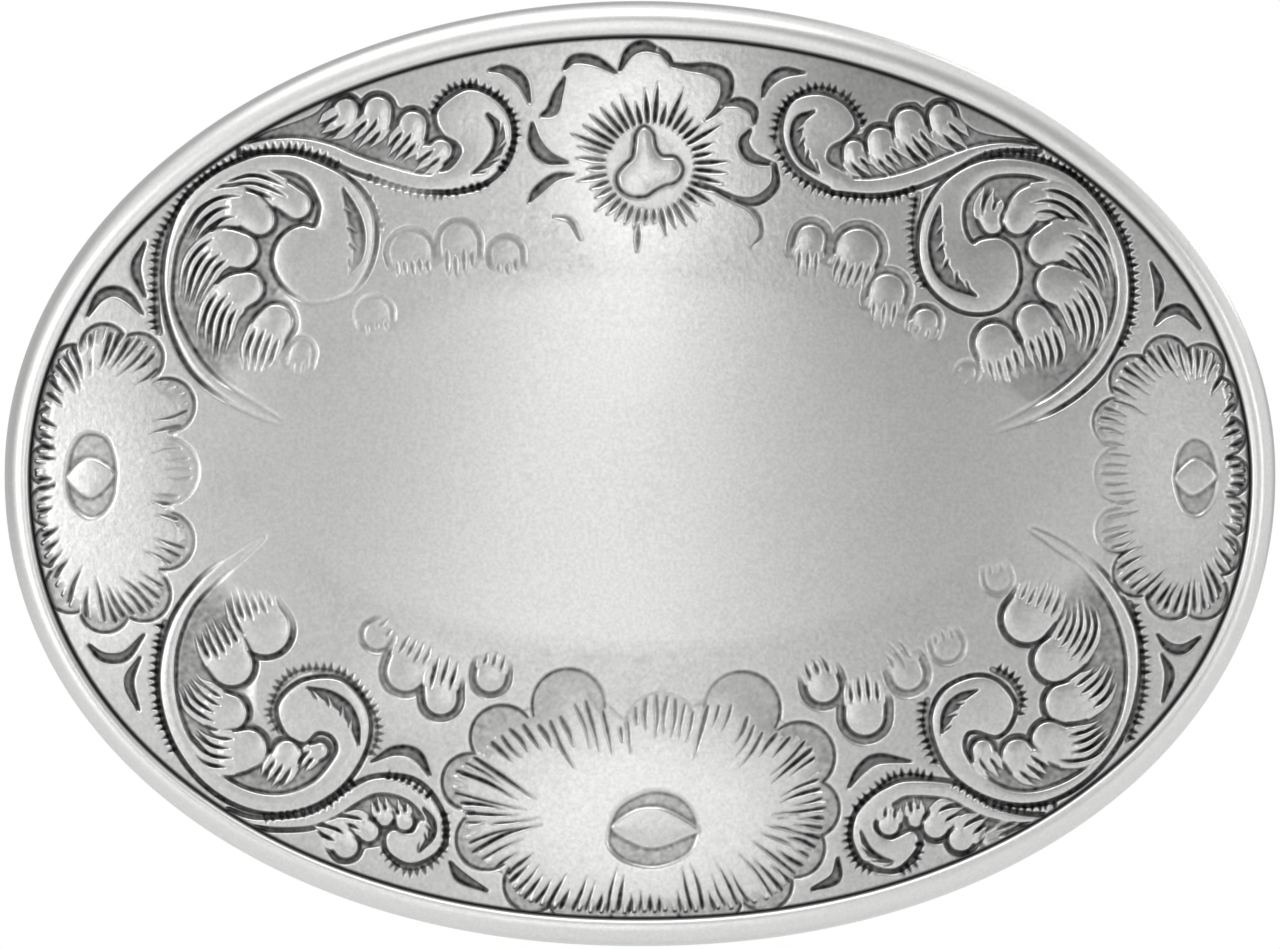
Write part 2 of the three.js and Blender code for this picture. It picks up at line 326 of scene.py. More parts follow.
def leaf(relief, step, points, strength=1.0, ink=1.0, moat=0.4):
    """A lobe from its round head to its tail, where long fingers stand between cuts."""
    path = spline(points)
    widest = path[:, 2].max()
    tail = path[-1, :2] - path[-4, :2]
    tail /= np.hypot(*tail)
    beyond = [[*(path[-1, :2] + tail * reach), path[-1, 2]] for reach in (0.25, 0.5, 0.75)]
    path = np.vstack([path, beyond])
    s, _ = run(path)
    split = 0.3
    neck = max(np.searchsorted(s, split), 3)
    aim = path[neck, :2] - path[neck - 3, :2]
    aim /= np.hypot(*aim)
    where, d, _ = relief.near_line(path[: neck + 1], 0.9)
    x, z = relief.x[None, where[1]], relief.z[where[0], None]
    past = (x - path[neck, 0]) * aim[0] + (z - path[neck, 1]) * aim[1]
    beside = 1 - smooth(past / 0.9 + 0.3)
    if step == "sink":
        relief.sink(where, d - moat, strength * beside)
    if step == "rise":
        relief.rise(where, d, strength * (1 - smooth((past - 0.1) / 1.6)), ink * beside, crown=0.14)
        side = lefts(path)
        half = np.minimum(widest, path[:, 2] + 0.25 * widest)
        count = max(3, round(widest / FINGER_WIDTH))
        lanes = np.linspace(-1, 1, count)

        def lane_line(lane, low, high):
            keep = (s > low) & (s < high)
            line = path[keep, :2] + side[keep] * (lane * half[keep, None])
            return line[:: max(1, len(line) // 5)]

        for lane in lanes:
            stop = 1.05 - 0.3 * (1 - split) * lane * lane * chance.uniform(0.6, 1.2)
            line = lane_line(0.9 * lane, 0.8 * split, stop)
            if len(line) > 2:
                relief.ridge(line, 0.75 * widest / (count - 1), strength)
        for lane in (lanes[:-1] + lanes[1:]) / 2:
            stop = 1.0 - 0.3 * (1 - split) * lane * lane
            line = lane_line(0.9 * lane, chance.uniform(0.14, 0.32), stop * chance.uniform(0.78, 1))
            if len(line) > 2:
                relief.cut(line, 0.125, strength * ink, start=0.1, depth=0.2)


def teeth(relief, step, points, out=1, strength=1.0, inside=0.42):
    """A row of wedges cut outwards from a line that runs inside the given one, in its sunk margin.
    out is 1 if they point to the line's left, -1 to its right."""
    path = spline(points, spacing=0.1)
    s, total = run(path)
    side = lefts(path) * out
    base = path[:, :2] - inside * side
    if step == "sink":
        moat = np.column_stack([base - 0.2 * side, np.full(len(base), 0.2)])
        where, d, _ = relief.near_line(moat[::3], 0.4)
        relief.blend(where, strength * smooth(0.5 - d / WALL), FLOOR, FLOOR_TONE - 0.06)
    if step == "mark":
        where, d, _ = relief.near_line(np.column_stack([base, np.full(len(base), 0.02)])[::3], 0.4)
        relief.ink(where, 0.4 * strength * smooth(0.5 - d / 0.12), 0.05)
        for at in np.arange(0.28, total, TOOTH_PITCH):
            k = min(np.searchsorted(s, (at + chance.uniform(-0.05, 0.05)) / total), len(path) - 1)
            end = base[k] + side[k] * chance.uniform(0.45, 0.65)
            where, d, _ = relief.near_line(np.array([[*base[k], 0.2], [*end, 0.0]]), 0.3)
            relief.ink(where, strength * smooth(0.5 - d / 0.09), 0.16)


def crescent(relief, step, points, dark=1, strength=1.0, notches=0):
    """A sunk crescent, darkest along one side: dark is 1 for the line's left side, -1 for its right.
    From its other side light notches can run into it."""
    if step != "mark":
        return
    path = spline(points)
    path[:, 2] = 0.05 + 1.15 * (path[:, 2] - 0.05)
    where, d, left = relief.near_line(path)
    relief.blend(where, strength * smooth(0.5 - d / 0.12), -0.26, 0.36)
    deep = left if dark > 0 else ~left
    relief.ink(where, strength * np.where(deep, 1.0, 0.4) * bell(d, -0.12, 0.17), 0.06)
    # a painted highlight, partly rubbed bright by wear, along the crescent's edge, strongest on its lighter
    # side
    relief.polish_and_highlight(where, strength * np.where(deep, 0.1, 0.85) * bell(d, 0.13, 0.09))
    s, _ = run(path)
    side = -dark * lefts(path)
    for share in (np.arange(notches) + 0.8) / (notches + 1):
        k = np.searchsorted(s, share)
        start = path[k, :2] + side[k] * (path[k, 2] + 0.2)
        along = path[min(k + 4, len(path) - 1), :2] - path[k, :2]
        end = start + along - side[k] * (1.1 * path[k, 2] + 0.1)
        beside = [start + 0.4 * along, (start + end) / 2 + 0.3 * along, end + 0.2 * along]
        relief.cut(beside, 0.1, strength, start=0.5)
        relief.ridge([start, (start + end) / 2, end], 0.13, strength, tone=0.82)


def flower(relief, step, discs, middle, stretch, calm):
    """A flower of round petals, each x, z, radius, strength and inset. Its outline is dark, and strokes run
    inwards from inset inside it, between the two shares in calm of the way to the middle. stretch draws
    the point that they aim at out towards them."""
    if step != "mark":
        return
    discs = np.array(discs, float)
    centre = np.array(middle, float)
    where, x, z = relief.window(discs, 4)
    turns = np.linspace(-np.pi, np.pi, 1441)
    ray = np.stack([np.cos(turns), np.sin(turns)], axis=1)
    ahead = ray @ (discs[:, :2] - centre).T
    aside = np.abs(ray[:, :1] * (discs[:, 1] - centre[1]) - ray[:, 1:] * (discs[:, 0] - centre[0]))
    chord = np.sqrt(np.maximum(discs[:, 2] ** 2 - aside ** 2, 0))
    hit = np.where(aside < discs[:, 2], ahead + chord, 0)
    petal = hit.argmax(axis=1)
    edge = hit.max(axis=1)
    edge = np.interp(turns, turns[edge > 0], edge[edge > 0])
    for _ in range(30):
        spot = centre + ray * edge[:, None]
        outside = np.hypot(spot[:, 0] / (FIELD[0] - 0.2), (spot[:, 1] - FIELD[2]) / (FIELD[1] - 0.2)) > 1
        edge = np.where(outside, 0.985 * edge, edge)
    blur = np.ones(61) / 61
    even = np.convolve(np.pad(edge, 30, "wrap"), blur, "valid")
    power = np.convolve(np.pad(discs[petal, 3], 30, "wrap"), blur, "valid")
    inset = np.convolve(np.pad(discs[petal, 4], 30, "wrap"), blur, "valid")
    turn = np.arctan2(z - centre[1], x - centre[0])
    near = np.hypot(x - centre[0], z - centre[1]) - np.interp(turn, turns, even)
    d = np.full_like(near, 1e9)
    for px, pz, r, *_ in discs:
        d = np.minimum(d, np.hypot(x - px, z - pz) - r)
    d = np.where(near < -1.6, -9, d)
    weight = np.interp(turn, turns, power)
    deep = 1.2 + np.interp(turn, turns, inset)
    line = smooth((weight - 0.5) / 0.3)
    margin = line * smooth((near + deep) / (0.8 * deep)) * ((d < 0) | (near < -0.8))
    relief.height[where] -= margin * 0.2
    relief.tone[where] += 0.7 * margin * (0.5 - relief.tone[where])
    relief.ink(where, line * bell(d, -0.1, 0.1), 0.12)
    # a painted highlight, partly rubbed bright by wear, just outside the dark outline
    relief.polish_and_highlight(where, line * 0.8 * bell(d, 0.12, 0.1))
    start_at = np.pad(np.minimum(even - inset, edge - 0.15), 12, "wrap")
    start_at = np.convolve(start_at, np.ones(25) / 25, "valid")
    rim = centre + ray * start_at[:, None]
    s = np.cumsum(start_at) * (turns[1] - turns[0])
    for at in np.arange(0, s[-1], STROKE_PITCH):
        k = min(np.searchsorted(s, at + chance.uniform(0, 0.12)), len(rim) - 1)
        if chance.uniform() < 0.1:
            continue
        aim = centre + np.array(stretch) * (rim[k] - centre) - rim[k]
        aim /= np.hypot(*aim)
        reach = np.hypot(*(rim[k] - centre))
        longer = calm[0] + (calm[1] - calm[0]) * chance.uniform() ** 2
        length = min(max(longer * reach, 1.1), max(reach - 2.6, 0.9))
        start = rim[k] + chance.uniform(0, 0.25) * aim
        end = start + aim * length
        bow = np.array([-aim[1], aim[0]]) * chance.uniform(-0.06, 0.06) * length
        line = [start, (start + end) / 2 + bow, end]
        if round(at / STROKE_PITCH) % 2:
            relief.cut(line, chance.uniform(0.08, 0.16), power[k], start=0.6, depth=0.2)
        else:
            relief.ridge(line, 0.14, 0.9 * power[k])


def spikes(relief, step, middle, inner, outer, angles, count, strength=1.0):
    """Rays round a boss, from one radius to a varying other."""
    if step != "mark":
        return
    for share in np.arange(count) / (count - 1):
        turn = math.radians(angles[0] + share * (angles[1] - angles[0]))
        u = np.array([math.cos(turn), math.sin(turn)])
        start = np.array(middle) + inner * u
        end = np.array(middle) + outer * chance.uniform(0.85, 1.15) * u
        relief.cut([start, (start + end) / 2, end], 0.17, strength, start=0.6, depth=0.2)


# ---- The ornament, in millimetres across and up; a third number is a half width ----

# Where wear has taken the engraving back: x, z, radius and the share that is gone.
WORN = [
    (-23, 12.3, 3, 0.85), (-20.5, 14.5, 3, 0.4), (-33, 0.5, 3.2, 0.5), (-18, 20.3, 2.5, 0.5),
    (-27.4, 4.4, 4.4, 0.88), (26, 3.1, 4.4, 0.88), (27.5, 5, 2, 0.5), (-29, -5.3, 4, 0.93),
    (30.6, -4.9, 4, 0.88), (22, 8.5, 3, 0.5), (34.5, -0.3, 3.6, 0.5), (-25.5, -9.5, 2, 0.6),
    (-27.5, -7.5, 2, 0.5)]

# The inner edges of the four big scrolls, which the strap and the sunk ground inside it share.
UPPER_LEFT = [(-24.8, 21.8), (-26.4, 22.5), (-29, 22.35), (-31.4, 21.3), (-33, 19.7), (-34.4, 17.2),
    (-34.9, 14.3), (-34.7, 12), (-33.3, 9.2), (-31.5, 7)]
UPPER_RIGHT = [(24.1, 20), (25.1, 21.4), (26.6, 22.2), (29.5, 22.1), (32.3, 20.7), (34.5, 18), (35.5, 14.6),
    (35.2, 11.5), (33.7, 8.6), (31.2, 6.2)]
LOWER_LEFT = [(-22.8, -21.2), (-24.4, -23), (-27, -23.9), (-30, -23.2), (-32.8, -20.8), (-34.4, -17.4),
    (-34.6, -13.5), (-33.5, -10.2), (-31.6, -8)]
LOWER_RIGHT = [(24.1, -20.6), (25.2, -22.2), (27.6, -23.6), (30.5, -23.4), (33.5, -21.7), (35.7, -18.4),
    (36.3, -14.2), (35.3, -10.3), (33, -7)]


def each(draw, *outlines):
    """Rows of the ornament for several outlines of one kind of motif."""
    return [(draw, outline) for outline in outlines]


ORNAMENT = [
    # painted light and shade: brighter patches over the flowers and a few spots at the sides, a darker patch
    # at the upper right
    (painted_light_patch, 0.5, 24, 7, 8, 0.24),
    (painted_light_patch, 0.5, -26, 12, 7, 0.28),
    (painted_light_patch, -40, -4, 5, 10, 0.18),
    (painted_light_patch, 40, 3.5, 5, 10, 0.18),
    (painted_light_patch, 19, 27.5, 9, 5, -0.25),
    (painted_light_patch, -33, -12, 7, 9, 0.08),
    (painted_light_patch, -17, -15.5, 5, 3.5, 0.1),
    # upper left scroll
    (scroll, [(-26.6, 3.8), (-28.5, 4.4), (-31, 5.7), (-33.5, 7.9), (-35.1, 11.5), (-35.45, 15.5),
      (-34.3, 19.7), (-32, 22.1), (-29, 23.5), (-27, 23.75), (-25, 23.5), (-22, 22.1), (-20.1, 20),
      (-19.7, 17.5), (-20.3, 15.1), (-21.6, 13.5), (-24, 12.8), (-25.6, 13.3), (-26.8, 14.4), (-27.3, 15.8),
      (-27, 17.1), (-26.2, 18), (-25.1, 18.45), (-24.2, 18.3), (-23.8, 19.4), (-23.9, 20.3), *UPPER_LEFT,
      (-28.6, 5.1)]),
    (basin, [(-23.8, 19.4), *UPPER_LEFT, (-29.5, 6.2), (-27, 8), (-25.6, 11), (-26.4, 13.6), (-27.4, 15.8),
      (-26.6, 17.9), (-24.6, 18.7)]),
    *each(leaf,
      [(-25.5, 20, 1.05), (-26.9, 20.9, 1), (-28.8, 21.6, .7), (-30.8, 21.4, .35)],
      [(-28.3, 18.9, 1.15), (-29.6, 19.8, 1.3), (-31.3, 19.7, 1.2), (-32.7, 18.6, .9), (-33.5, 17.2, .5)],
      [(-29.7, 16.6, 1.3), (-31, 16.8, 1.4), (-32.3, 15.9, 1.3), (-33.1, 14.4, .9), (-33.5, 13, .5)],
      [(-29.2, 13.8, 1.2), (-30.3, 13.3, 1.4), (-31.3, 12, 1.35), (-31.7, 10.4, 1.1), (-31.8, 9.2, .7)],
      [(-27.1, 11.3, 1.3), (-27.8, 10.3, 1.4), (-28.3, 9, 1.1), (-28.5, 7.9, .7)]),
    (leaf, [(-25.2, 9, .85), (-25.4, 8, .8), (-25.5, 7.2, .5)], .5, .7),
    (crescent, [(-22.1, 21.2, .05), (-21.5, 19.8, .3), (-21.1, 18.6, .42), (-20.9, 17.3, .4),
      (-21, 16, .28), (-21.5, 14.9, .05)], 1, .9, 4),
    (teeth, [(-36.4, 10.4), (-36.6, 12), (-36.4, 17), (-34.8, 20), (-33.2, 21.9), (-31, 23.4),
      (-28.7, 24.3), (-25.5, 24.5), (-22.2, 23.2)]),
    (teeth, [(-20, 20.9), (-19.2, 19.6), (-18.7, 18.2)], 1, .6),
    (crescent, [(-36.9, 17.2, .08), (-37.6, 15.3, .3), (-36.9, 13.2, .08)], -1),
    (crescent, [(-41.2, 11.8, .08), (-40.3, 13.2, .3), (-39.2, 13.6, .32), (-38.1, 13.1, .3),
      (-37.1, 11.9, .08)]),
    # top left curl and the leaves beside it
    (hollow, [(-28.5, 25.1), (-24.3, 26.7), (-22.6, 28.3), (-20.9, 27.8), (-19.3, 28.1), (-17.9, 27.2),
      (-16, 26.4), (-13.5, 24.5), (-14.5, 22.5), (-18, 22.7), (-22, 24.3), (-26, 25.1)]),
    (curl, [(-29.5, 24.3, .3), (-27, 24.55, .42), (-25, 24.45, .48), (-23, 23.95, .5), (-21, 23.05, .55),
      (-17, 21.8, .55), (-14.5, 21.6, .55)], [(-15.4, 21.2), (-13.5, 21.1), (-11.5, 21.7), (-10, 23.2),
      (-9.5, 25.2), (-10, 27), (-11.4, 28.2), (-13, 28.5), (-14.9, 27.2), (-15.1, 26.1), (-14.5, 25.1),
      (-13.6, 24.6), (-13.3, 23.8), (-14.2, 22.6), (-15.4, 22.3)]),
    (crescent, [(-11.3, 26.7, .1), (-10.5, 25.6, .3), (-10.6, 24.1, .32), (-11.4, 23, .25),
      (-12.4, 22.3, .06)], -1, 1.0, 4),
    *each(leaf,
      [(-21.9, 27, .95), (-22.2, 26.3, .95), (-23.4, 25.5, .6)],
      [(-19.5, 27, 1.05), (-19.7, 26, 1.05), (-20.8, 24.8, .7)],
      [(-16.9, 25.9, 1.05), (-17.1, 25.1, 1.05), (-18.1, 23.9, .65)],
      [(-14.8, 24, .85), (-15.4, 23.5, .8), (-16.2, 22.9, .5)]),
    (teeth, [(-15.9, 26.9), (-14.6, 28.7), (-12.5, 29.3), (-10.2, 28.2), (-9, 26.4), (-9, 24.5),
      (-10, 22.5)]),
    (teeth, [(-20.5, 21.8), (-18, 20.9), (-15, 20.4), (-11.2, 21.2)], -1),
    (crescent, [(-11.2, 30, .08), (-10, 30, .3), (-8.8, 29.2, .34), (-8.2, 27.6, .08)], 1),
    # top flower
    *each(crescent,
      [(-5.6, 30.1, .1), (-4.9, 30.8, .26), (-3.4, 30.7, .3), (-1.8, 29.8, .1)],
      [(-1.5, 30, .1), (-.8, 31.3, .3), (.3, 31.8, .34), (1.6, 31.3, .1)],
      [(2.3, 30.4, .1), (3.6, 30.2, .22), (5, 30.1, .36), (6.3, 29.5, .46), (6.4, 28.2, .36),
       (5.7, 27, .18), (4.9, 26.3, .05)],
      [(1.5, 31.5, .1), (2, 31, .2), (2.5, 30.3, .06)],
      [(6.2, 27.4, .1), (7.4, 27.6, .3), (8.4, 27, .3), (8.5, 26, .1)]),
    (crescent, [(8.2, 25.5, .1), (7.7, 24.6, .32), (8.3, 23.5, .34), (10, 22.95, .1)], -1),
    (crescent, [(10, 22.9, .15), (10, 21.4, .28), (8.8, 20.3, .32), (7.4, 20.3, .22), (5.6, 21.1, .12),
      (4.4, 21.7, .05)], 1),
    (crescent, [(7, 20.4, .05), (8.6, 19.3, .14), (9, 17.8, .14), (8.3, 16.9, .05)], 1, .6),
    (crescent, [(-5.6, 29.4, .08), (-6.1, 28.2, .3), (-6.5, 27, .36), (-7.3, 26.6, .1)], -1),
    (crescent, [(-8, 26, .1), (-7.8, 24.6, .4), (-6.9, 23.5, .4), (-5.4, 23.1, .1)], -1),
    (crescent, [(-4.9, 22.2, .06), (-6.3, 22, .24), (-7.6, 21, .28), (-8.2, 20.2, .08)], -1, .9),
    (crescent, [(-6.4, 19.1, .04), (-5.2, 18.8, .12), (-4.4, 17.4, .05)], 1, .5),
    (basin, [(.7, 26), (2.8, 25.2), (4.1, 23.4), (4.2, 21.4), (2.9, 19.8), (.6, 19.2), (-1.6, 19.7),
      (-2.9, 21.2), (-3, 23.3), (-1.6, 25.3)], .4),
    (scroll, [(.3, 25.7), (.9, 25.2), (1.1, 24.2), (1.6, 23.5), (2.6, 23.4), (3.1, 22.6), (2.7, 21.8),
      (1.8, 21.5), (1, 21.1), (.4, 20.7), (-.6, 20.7), (-1.4, 21.2), (-1.6, 22.1), (-1.1, 22.8),
      (-.5, 23.4), (-.3, 24.4), (-.2, 25.2)], 1, .1),
    (spikes, (.8, 22.9), 3.2, 5.6, (30, 158), 15),
    (spikes, (.8, 22.9), 3.3, 5.2, (-40, 20), 8),
    (spikes, (.8, 22.9), 3.4, 5, (165, 310), 17, .75),
    (crescent, [(-.1, 18.5, .05), (-.15, 17.5, .16), (-.2, 16.5, .04)], 1, .6),
    # top right curl and the leaves beside it
    (hollow, [(16.4, 25.2), (18.2, 25.8), (19, 27.2), (20.4, 27.6), (21.1, 27.2), (22.5, 27.8),
      (23.8, 26.4), (25.5, 25.3), (29.4, 24.7), (25.2, 24.4), (21, 22.8), (17, 21.9), (14.5, 22.5),
      (14.2, 24.4)]),
    (curl, [(14.5, 21.5, .5), (17, 21.35, .55), (19, 21.6, .6), (21, 22.2, .6), (23, 23.1, .55),
      (25, 24, .35), (27, 24.4, .25), (29.5, 24.3, .18)], [(15.6, 20.9), (13.4, 21.6), (11.4, 23.1),
      (10.6, 25.4), (11.3, 27.6), (13.3, 28.2), (15.2, 27.4), (16, 25.9), (15.2, 24.9), (14.1, 24.2),
      (14, 23.1), (15.8, 22)]),
    (crescent, [(12.9, 26.9, .1), (11.8, 26.2, .32), (11.6, 24.8, .38), (12.2, 23.3, .3),
      (13.3, 22.3, .06)], -1, 1.0, 4),
    *each(leaf,
      [(15.9, 24, .8), (16, 23.3, .8), (16.7, 22.6, .5)],
      [(17.9, 24.7, 1.05), (18.1, 23.9, 1.05), (19, 22.9, .7)],
      [(20, 26, 1.15), (20.3, 24.9, 1.2), (21.4, 23.6, .8)],
      [(22.4, 26.6, .95), (22.7, 25.7, .95), (23.9, 24.6, .6)]),
    (teeth, [(9.5, 24.8), (10.1, 27.1), (11.8, 28.7), (13.7, 29.1), (15.8, 28.1), (17.1, 26.1)]),
    (teeth, [(9.8, 24), (11, 22.1), (13.3, 20.7), (15.6, 20.2), (18.4, 20.1), (20.6, 20.9)], -1),
    (crescent, [(9.1, 28, .08), (9.5, 29, .28), (10.6, 29.8, .34), (12.2, 29.8, .08)], 1),
    # leaves on the faded middle's upper corners
    (leaf, [(12.7, 17.4, 1.05), (12.5, 16.5, 1.05), (12.4, 15, .8)], .7, 1, .6),
    (leaf, [(16.2, 16.6, 1.6), (15.9, 15.6, 1.45), (15.3, 14, 1)], .8, 1, .6),
    (leaf, [(18.4, 13.5, 1.3), (18.2, 12.6, 1.2), (18, 11.2, .8)], .7, 1, .6),
    (leaf, [(21.2, 11.3, .95), (21, 10.6, .9)], .8),
    (leaf, [(24.3, 7.5, .6), (24.1, 7, .55)], .7),
    (leaf, [(-17, 16.4, 1.6), (-16.8, 15, 1.3)], .35),
    (leaf, [(-13.4, 17.2, 1.4), (-13.3, 15, 1.3)], .35),
    (leaf, [(-9.9, 16.3, 1.1), (-9.8, 15.2, 1)], .3),
    (leaf, [(-19.7, 11.8, 1.2), (-19.5, 10.8, .9)], .35),
    # upper right scroll
    (scroll, [(24.6, 2.6), (26.8, 3.3), (31, 4.9), (34.3, 7.6), (36.2, 11.5), (36.3, 15.5), (34.8, 19.3),
      (32.2, 22.1), (29, 23.3), (25.6, 23.3), (22.7, 21.7), (21, 18.9), (20.8, 15.8), (21.8, 13.6),
      (24, 12.1), (26.5, 12.2), (28.1, 14), (28, 16.4), (26.8, 17.5), (25.4, 17.4), (24.7, 17.1),
      (24.1, 18.2), *UPPER_RIGHT, (28.3, 4.4)]),
    (basin, [(24.3, 18.4), *UPPER_RIGHT, (29, 5.6), (27, 7.5), (26.4, 11), (28.2, 13.4), (28.4, 16.2),
      (27, 17.8), (25.2, 17.6)]),
    *each(leaf,
      [(26.2, 18.6, .8), (25.9, 19.6, .9), (26.2, 20.7, .6)],
      [(28.1, 18.9, 1.1), (29.1, 20.1, 1.3), (31, 20.2, 1.2), (32.7, 19, .9), (34, 17.5, .5)],
      [(30.2, 16.8, 1.35), (31.6, 17.5, 1.45), (33.1, 16.7, 1.3), (34.2, 15.1, .9), (34.7, 13.5, .5)],
      [(30.9, 14.1, 1.45), (32.2, 13.5, 1.5), (33.1, 12.1, 1.3), (33.4, 10.6, .95), (33.2, 9.5, .55)],
      [(29.3, 11.3, 1.35), (29.9, 10.2, 1.4), (30.3, 9, 1.15), (30.4, 7.9, .7)],
      [(26.4, 9.7, 1.5), (26.9, 8.6, 1.5), (27.3, 7.2, 1.1)]),
    (crescent, [(22.3, 19.9, .05), (22, 18.3, .35), (21.95, 16.8, .45), (22.4, 15.2, .5), (23.4, 14.1, .4),
      (25, 13.2, .06)], -1, 1, 5),
    (teeth, [(20.2, 20.8), (19.9, 18), (20.2, 15.3), (20.9, 13.7)], -1, .9, .3),
    (teeth, [(25.3, 23.9), (28, 24.2), (30.5, 23.7), (33, 22.3), (35, 20.4), (36.6, 17.6), (37.2, 14),
      (36.9, 11), (36.1, 9.1)]),
    (crescent, [(38.1, 15.7, .08), (38.7, 14, .3), (38.5, 12.2, .08)], 1),
    (crescent, [(38.4, 11.1, .08), (39.2, 12, .3), (40.4, 12.2, .32), (41.8, 10.8, .08)]),
    # lower left scroll
    (scroll, [(-28, -4.7), (-30, -5.9), (-32.8, -8), (-35, -11.3), (-35.8, -15.5), (-34.9, -19.6),
      (-32.6, -22.9), (-29.3, -24.9), (-25.7, -25.1), (-22.4, -23.4), (-20.4, -20.4), (-20.3, -17.6),
      (-22.2, -15.4), (-25.1, -15.5), (-26.9, -17.2), (-26.4, -19.2), (-25, -20), (-24, -19.2),
      (-23, -19.4), (-22.5, -20.2), *LOWER_LEFT, (-29.6, -6.3)]),
    (crescent, [(-20.9, -20.2, .05), (-21.2, -18.7, .3), (-21.9, -17.4, .4), (-23.2, -16.5, .35),
      (-24.8, -15.9, .05)], -1, 1, 4),
    (basin, [*LOWER_LEFT, (-29.8, -9.4), (-29, -13), (-29.2, -17), (-28, -19.4), (-26, -20),
      (-24.2, -19.6)]),
    *each(leaf,
      [(-23.8, -20.6, .6), (-24.6, -21, .65), (-25.2, -21.7, .4)],
      [(-27.9, -11.6, 1.9), (-28.7, -10.5, 1.9), (-29.3, -8.7, 1.3)],
      [(-30.4, -14.2, 1.6), (-31, -13.2, 1.65), (-31.8, -11.6, 1.1)],
      [(-30.6, -17.8, 1.35), (-31.6, -17.5, 1.4), (-32.8, -16.7, 1.1), (-33.6, -15.7, .6)],
      [(-29.2, -20.5, 1.45), (-30.4, -20.8, 1.55), (-31.9, -20.6, 1.2), (-33, -19.7, .7)],
      [(-26.3, -20.9, 1.05), (-26.7, -21.8, 1.1), (-27.4, -22.8, .7)]),
    (teeth, [(-27.3, -19.4), (-27.9, -17.6), (-26.8, -15.1), (-24.6, -14.1), (-21.6, -14.7), (-19.5, -17.4),
      (-19.1, -19.6), (-19.7, -21.2)], 1, .75, .4),
    (teeth, [(-36, -11), (-36.5, -14.5), (-36.2, -18), (-35, -21)], -1),
    (teeth, [(-28.2, -25.9), (-25.5, -25.6), (-23, -24.8), (-21.2, -23.2)], -1),
    (crescent, [(-37.3, -13.7, .08), (-38.1, -15.5, .3), (-37.4, -17.6, .08)], 1),
    (crescent, [(-41.1, -12.8, .08), (-40, -13.7, .28), (-38.4, -13.6, .3), (-37, -12, .08)], -1),
    # leaves below the faded middle, on the left
    (leaf, [(-19.5, -12, 1), (-18.8, -11.4, .6)], .45),
    (leaf, [(-17.4, -14.7, 1.45), (-17.1, -13.9, 1.4), (-16.3, -12.4, .9)], .8, .8, .55),
    (leaf, [(-14.8, -16.7, 1.2), (-14.8, -15.7, 1.2), (-14.3, -14, .9)], .95, 1, .55),
    (leaf, [(-11.1, -15.1, 1.1), (-11, -14.5, 1.05), (-10.7, -13.5, .8)], .8, .9, .5),
    # bottom left curl and the leaves beside it
    (hollow, [(-24, -26.4), (-23, -27.7), (-22, -28.8), (-20.5, -27.9), (-19.2, -27.6), (-18.5, -26.6),
      (-17, -26.6), (-16.4, -25), (-18.5, -23.9), (-21, -24.5), (-23.2, -25.7)]),
    (curl, [(-30.6, -25.3, .1), (-28.5, -26, .25), (-25, -25.9, .4), (-23, -25.1, .5), (-21.5, -24.1, .55),
      (-20, -23.3, .55), (-18.5, -23.2, .6), (-17, -23.6, .7), (-15.9, -24.6, .65), (-15.2, -26, .6),
      (-15.2, -27.3, .6)], [(-14.7, -26.6), (-15.1, -28.1), (-17, -29), (-18.6, -28.2), (-18.9, -27),
      (-18.3, -26.5), (-17, -26.7), (-16.3, -25.8)]),
    (crescent, [(-16.1, -24.9, .08), (-15.5, -25.8, .22), (-15.5, -26.9, .24), (-16.4, -28.1, .06)], 1, 1.0,
      3),
    *each(leaf,
      [(-17.5, -25.9, .65), (-17.8, -24.9, .5)],
      [(-19, -25.6, .62), (-19.3, -24.7, .45)],
      [(-20.2, -26.6, .8), (-21, -26, .6), (-22.2, -25.7, .3)],
      [(-21.9, -27.7, .95), (-22.5, -27, .85), (-23.6, -26.5, .4)]),
    (teeth, [(-19.5, -28.1), (-18.3, -29.5), (-16.7, -29.9), (-15, -29.1), (-14.2, -27.5), (-14.2, -24.8)],
      -1, .8),
    (teeth, [(-18.9, -22.1), (-17.2, -22.5), (-15.3, -23.8)]),
    (crescent, [(-19.9, -21.4, .08), (-18.2, -20.6, .3), (-16.6, -20.9, .34), (-15.6, -22.4, .08)]),
    # bottom flower
    (flower, [(-5.3, -17.2, 2.8, .7, 2.6), (-10.2, -19.6, 2.5, .9, 1.9), (-12.6, -22.9, 2.2, 1, .5),
      (-11.4, -27.2, 2.35, 1, .6), (-8, -30.5, 2.2, 1, .5), (9.2, -30.4, 2.2, 1, .5),
      (11.5, -27.8, 2.3, 1, .7), (12.6, -24.9, 2.3, 1, .8), (11.9, -21, 2.65, 1, 1.3),
      (7.6, -17.5, 2.9, .7, 2.6), (1.6, -19, 2.8, .55, .1), (5, -31.3, 2.7, 1, .1), (.4, -31.6, 2.9, 1, .1),
      (-4.2, -31.3, 2.7, 1, .1)], (.8, -25.5), (.5, 0), (.16, .44)),
    (eye, [(-2.2, -26.4), (-1.7, -25), (-.5, -24.1), (1.2, -23.6), (3, -24.1), (4, -25.3), (4.2, -26.6),
      (3.8, -27.9), (2.6, -28.8), (.8, -29.2), (-1.2, -28.7), (-2.3, -27.6)], [(-2.1, -26.3), (-.6, -25.1),
      (.8, -24.8), (2.3, -25.1), (4.3, -26.4), (3.2, -27.1), (1.2, -27.8), (-.4, -27.5)]),
    (crescent, [(-14.1, -28.9, .1), (-13.3, -30, .34), (-11.4, -31, .1)], -1),
    (crescent, [(14.7, -28.6, .1), (14.5, -30.1, .34), (12.8, -30.9, .1)], 1),
    # bottom right curl and the leaves beside it
    (hollow, [(18.2, -24.2), (20.6, -24), (23.3, -24.6), (25.6, -25.8), (28.4, -26.4), (25.5, -27.5),
      (24.4, -28.3), (22.6, -27.3), (21, -26.6), (19.6, -27), (17.7, -26.4)]),
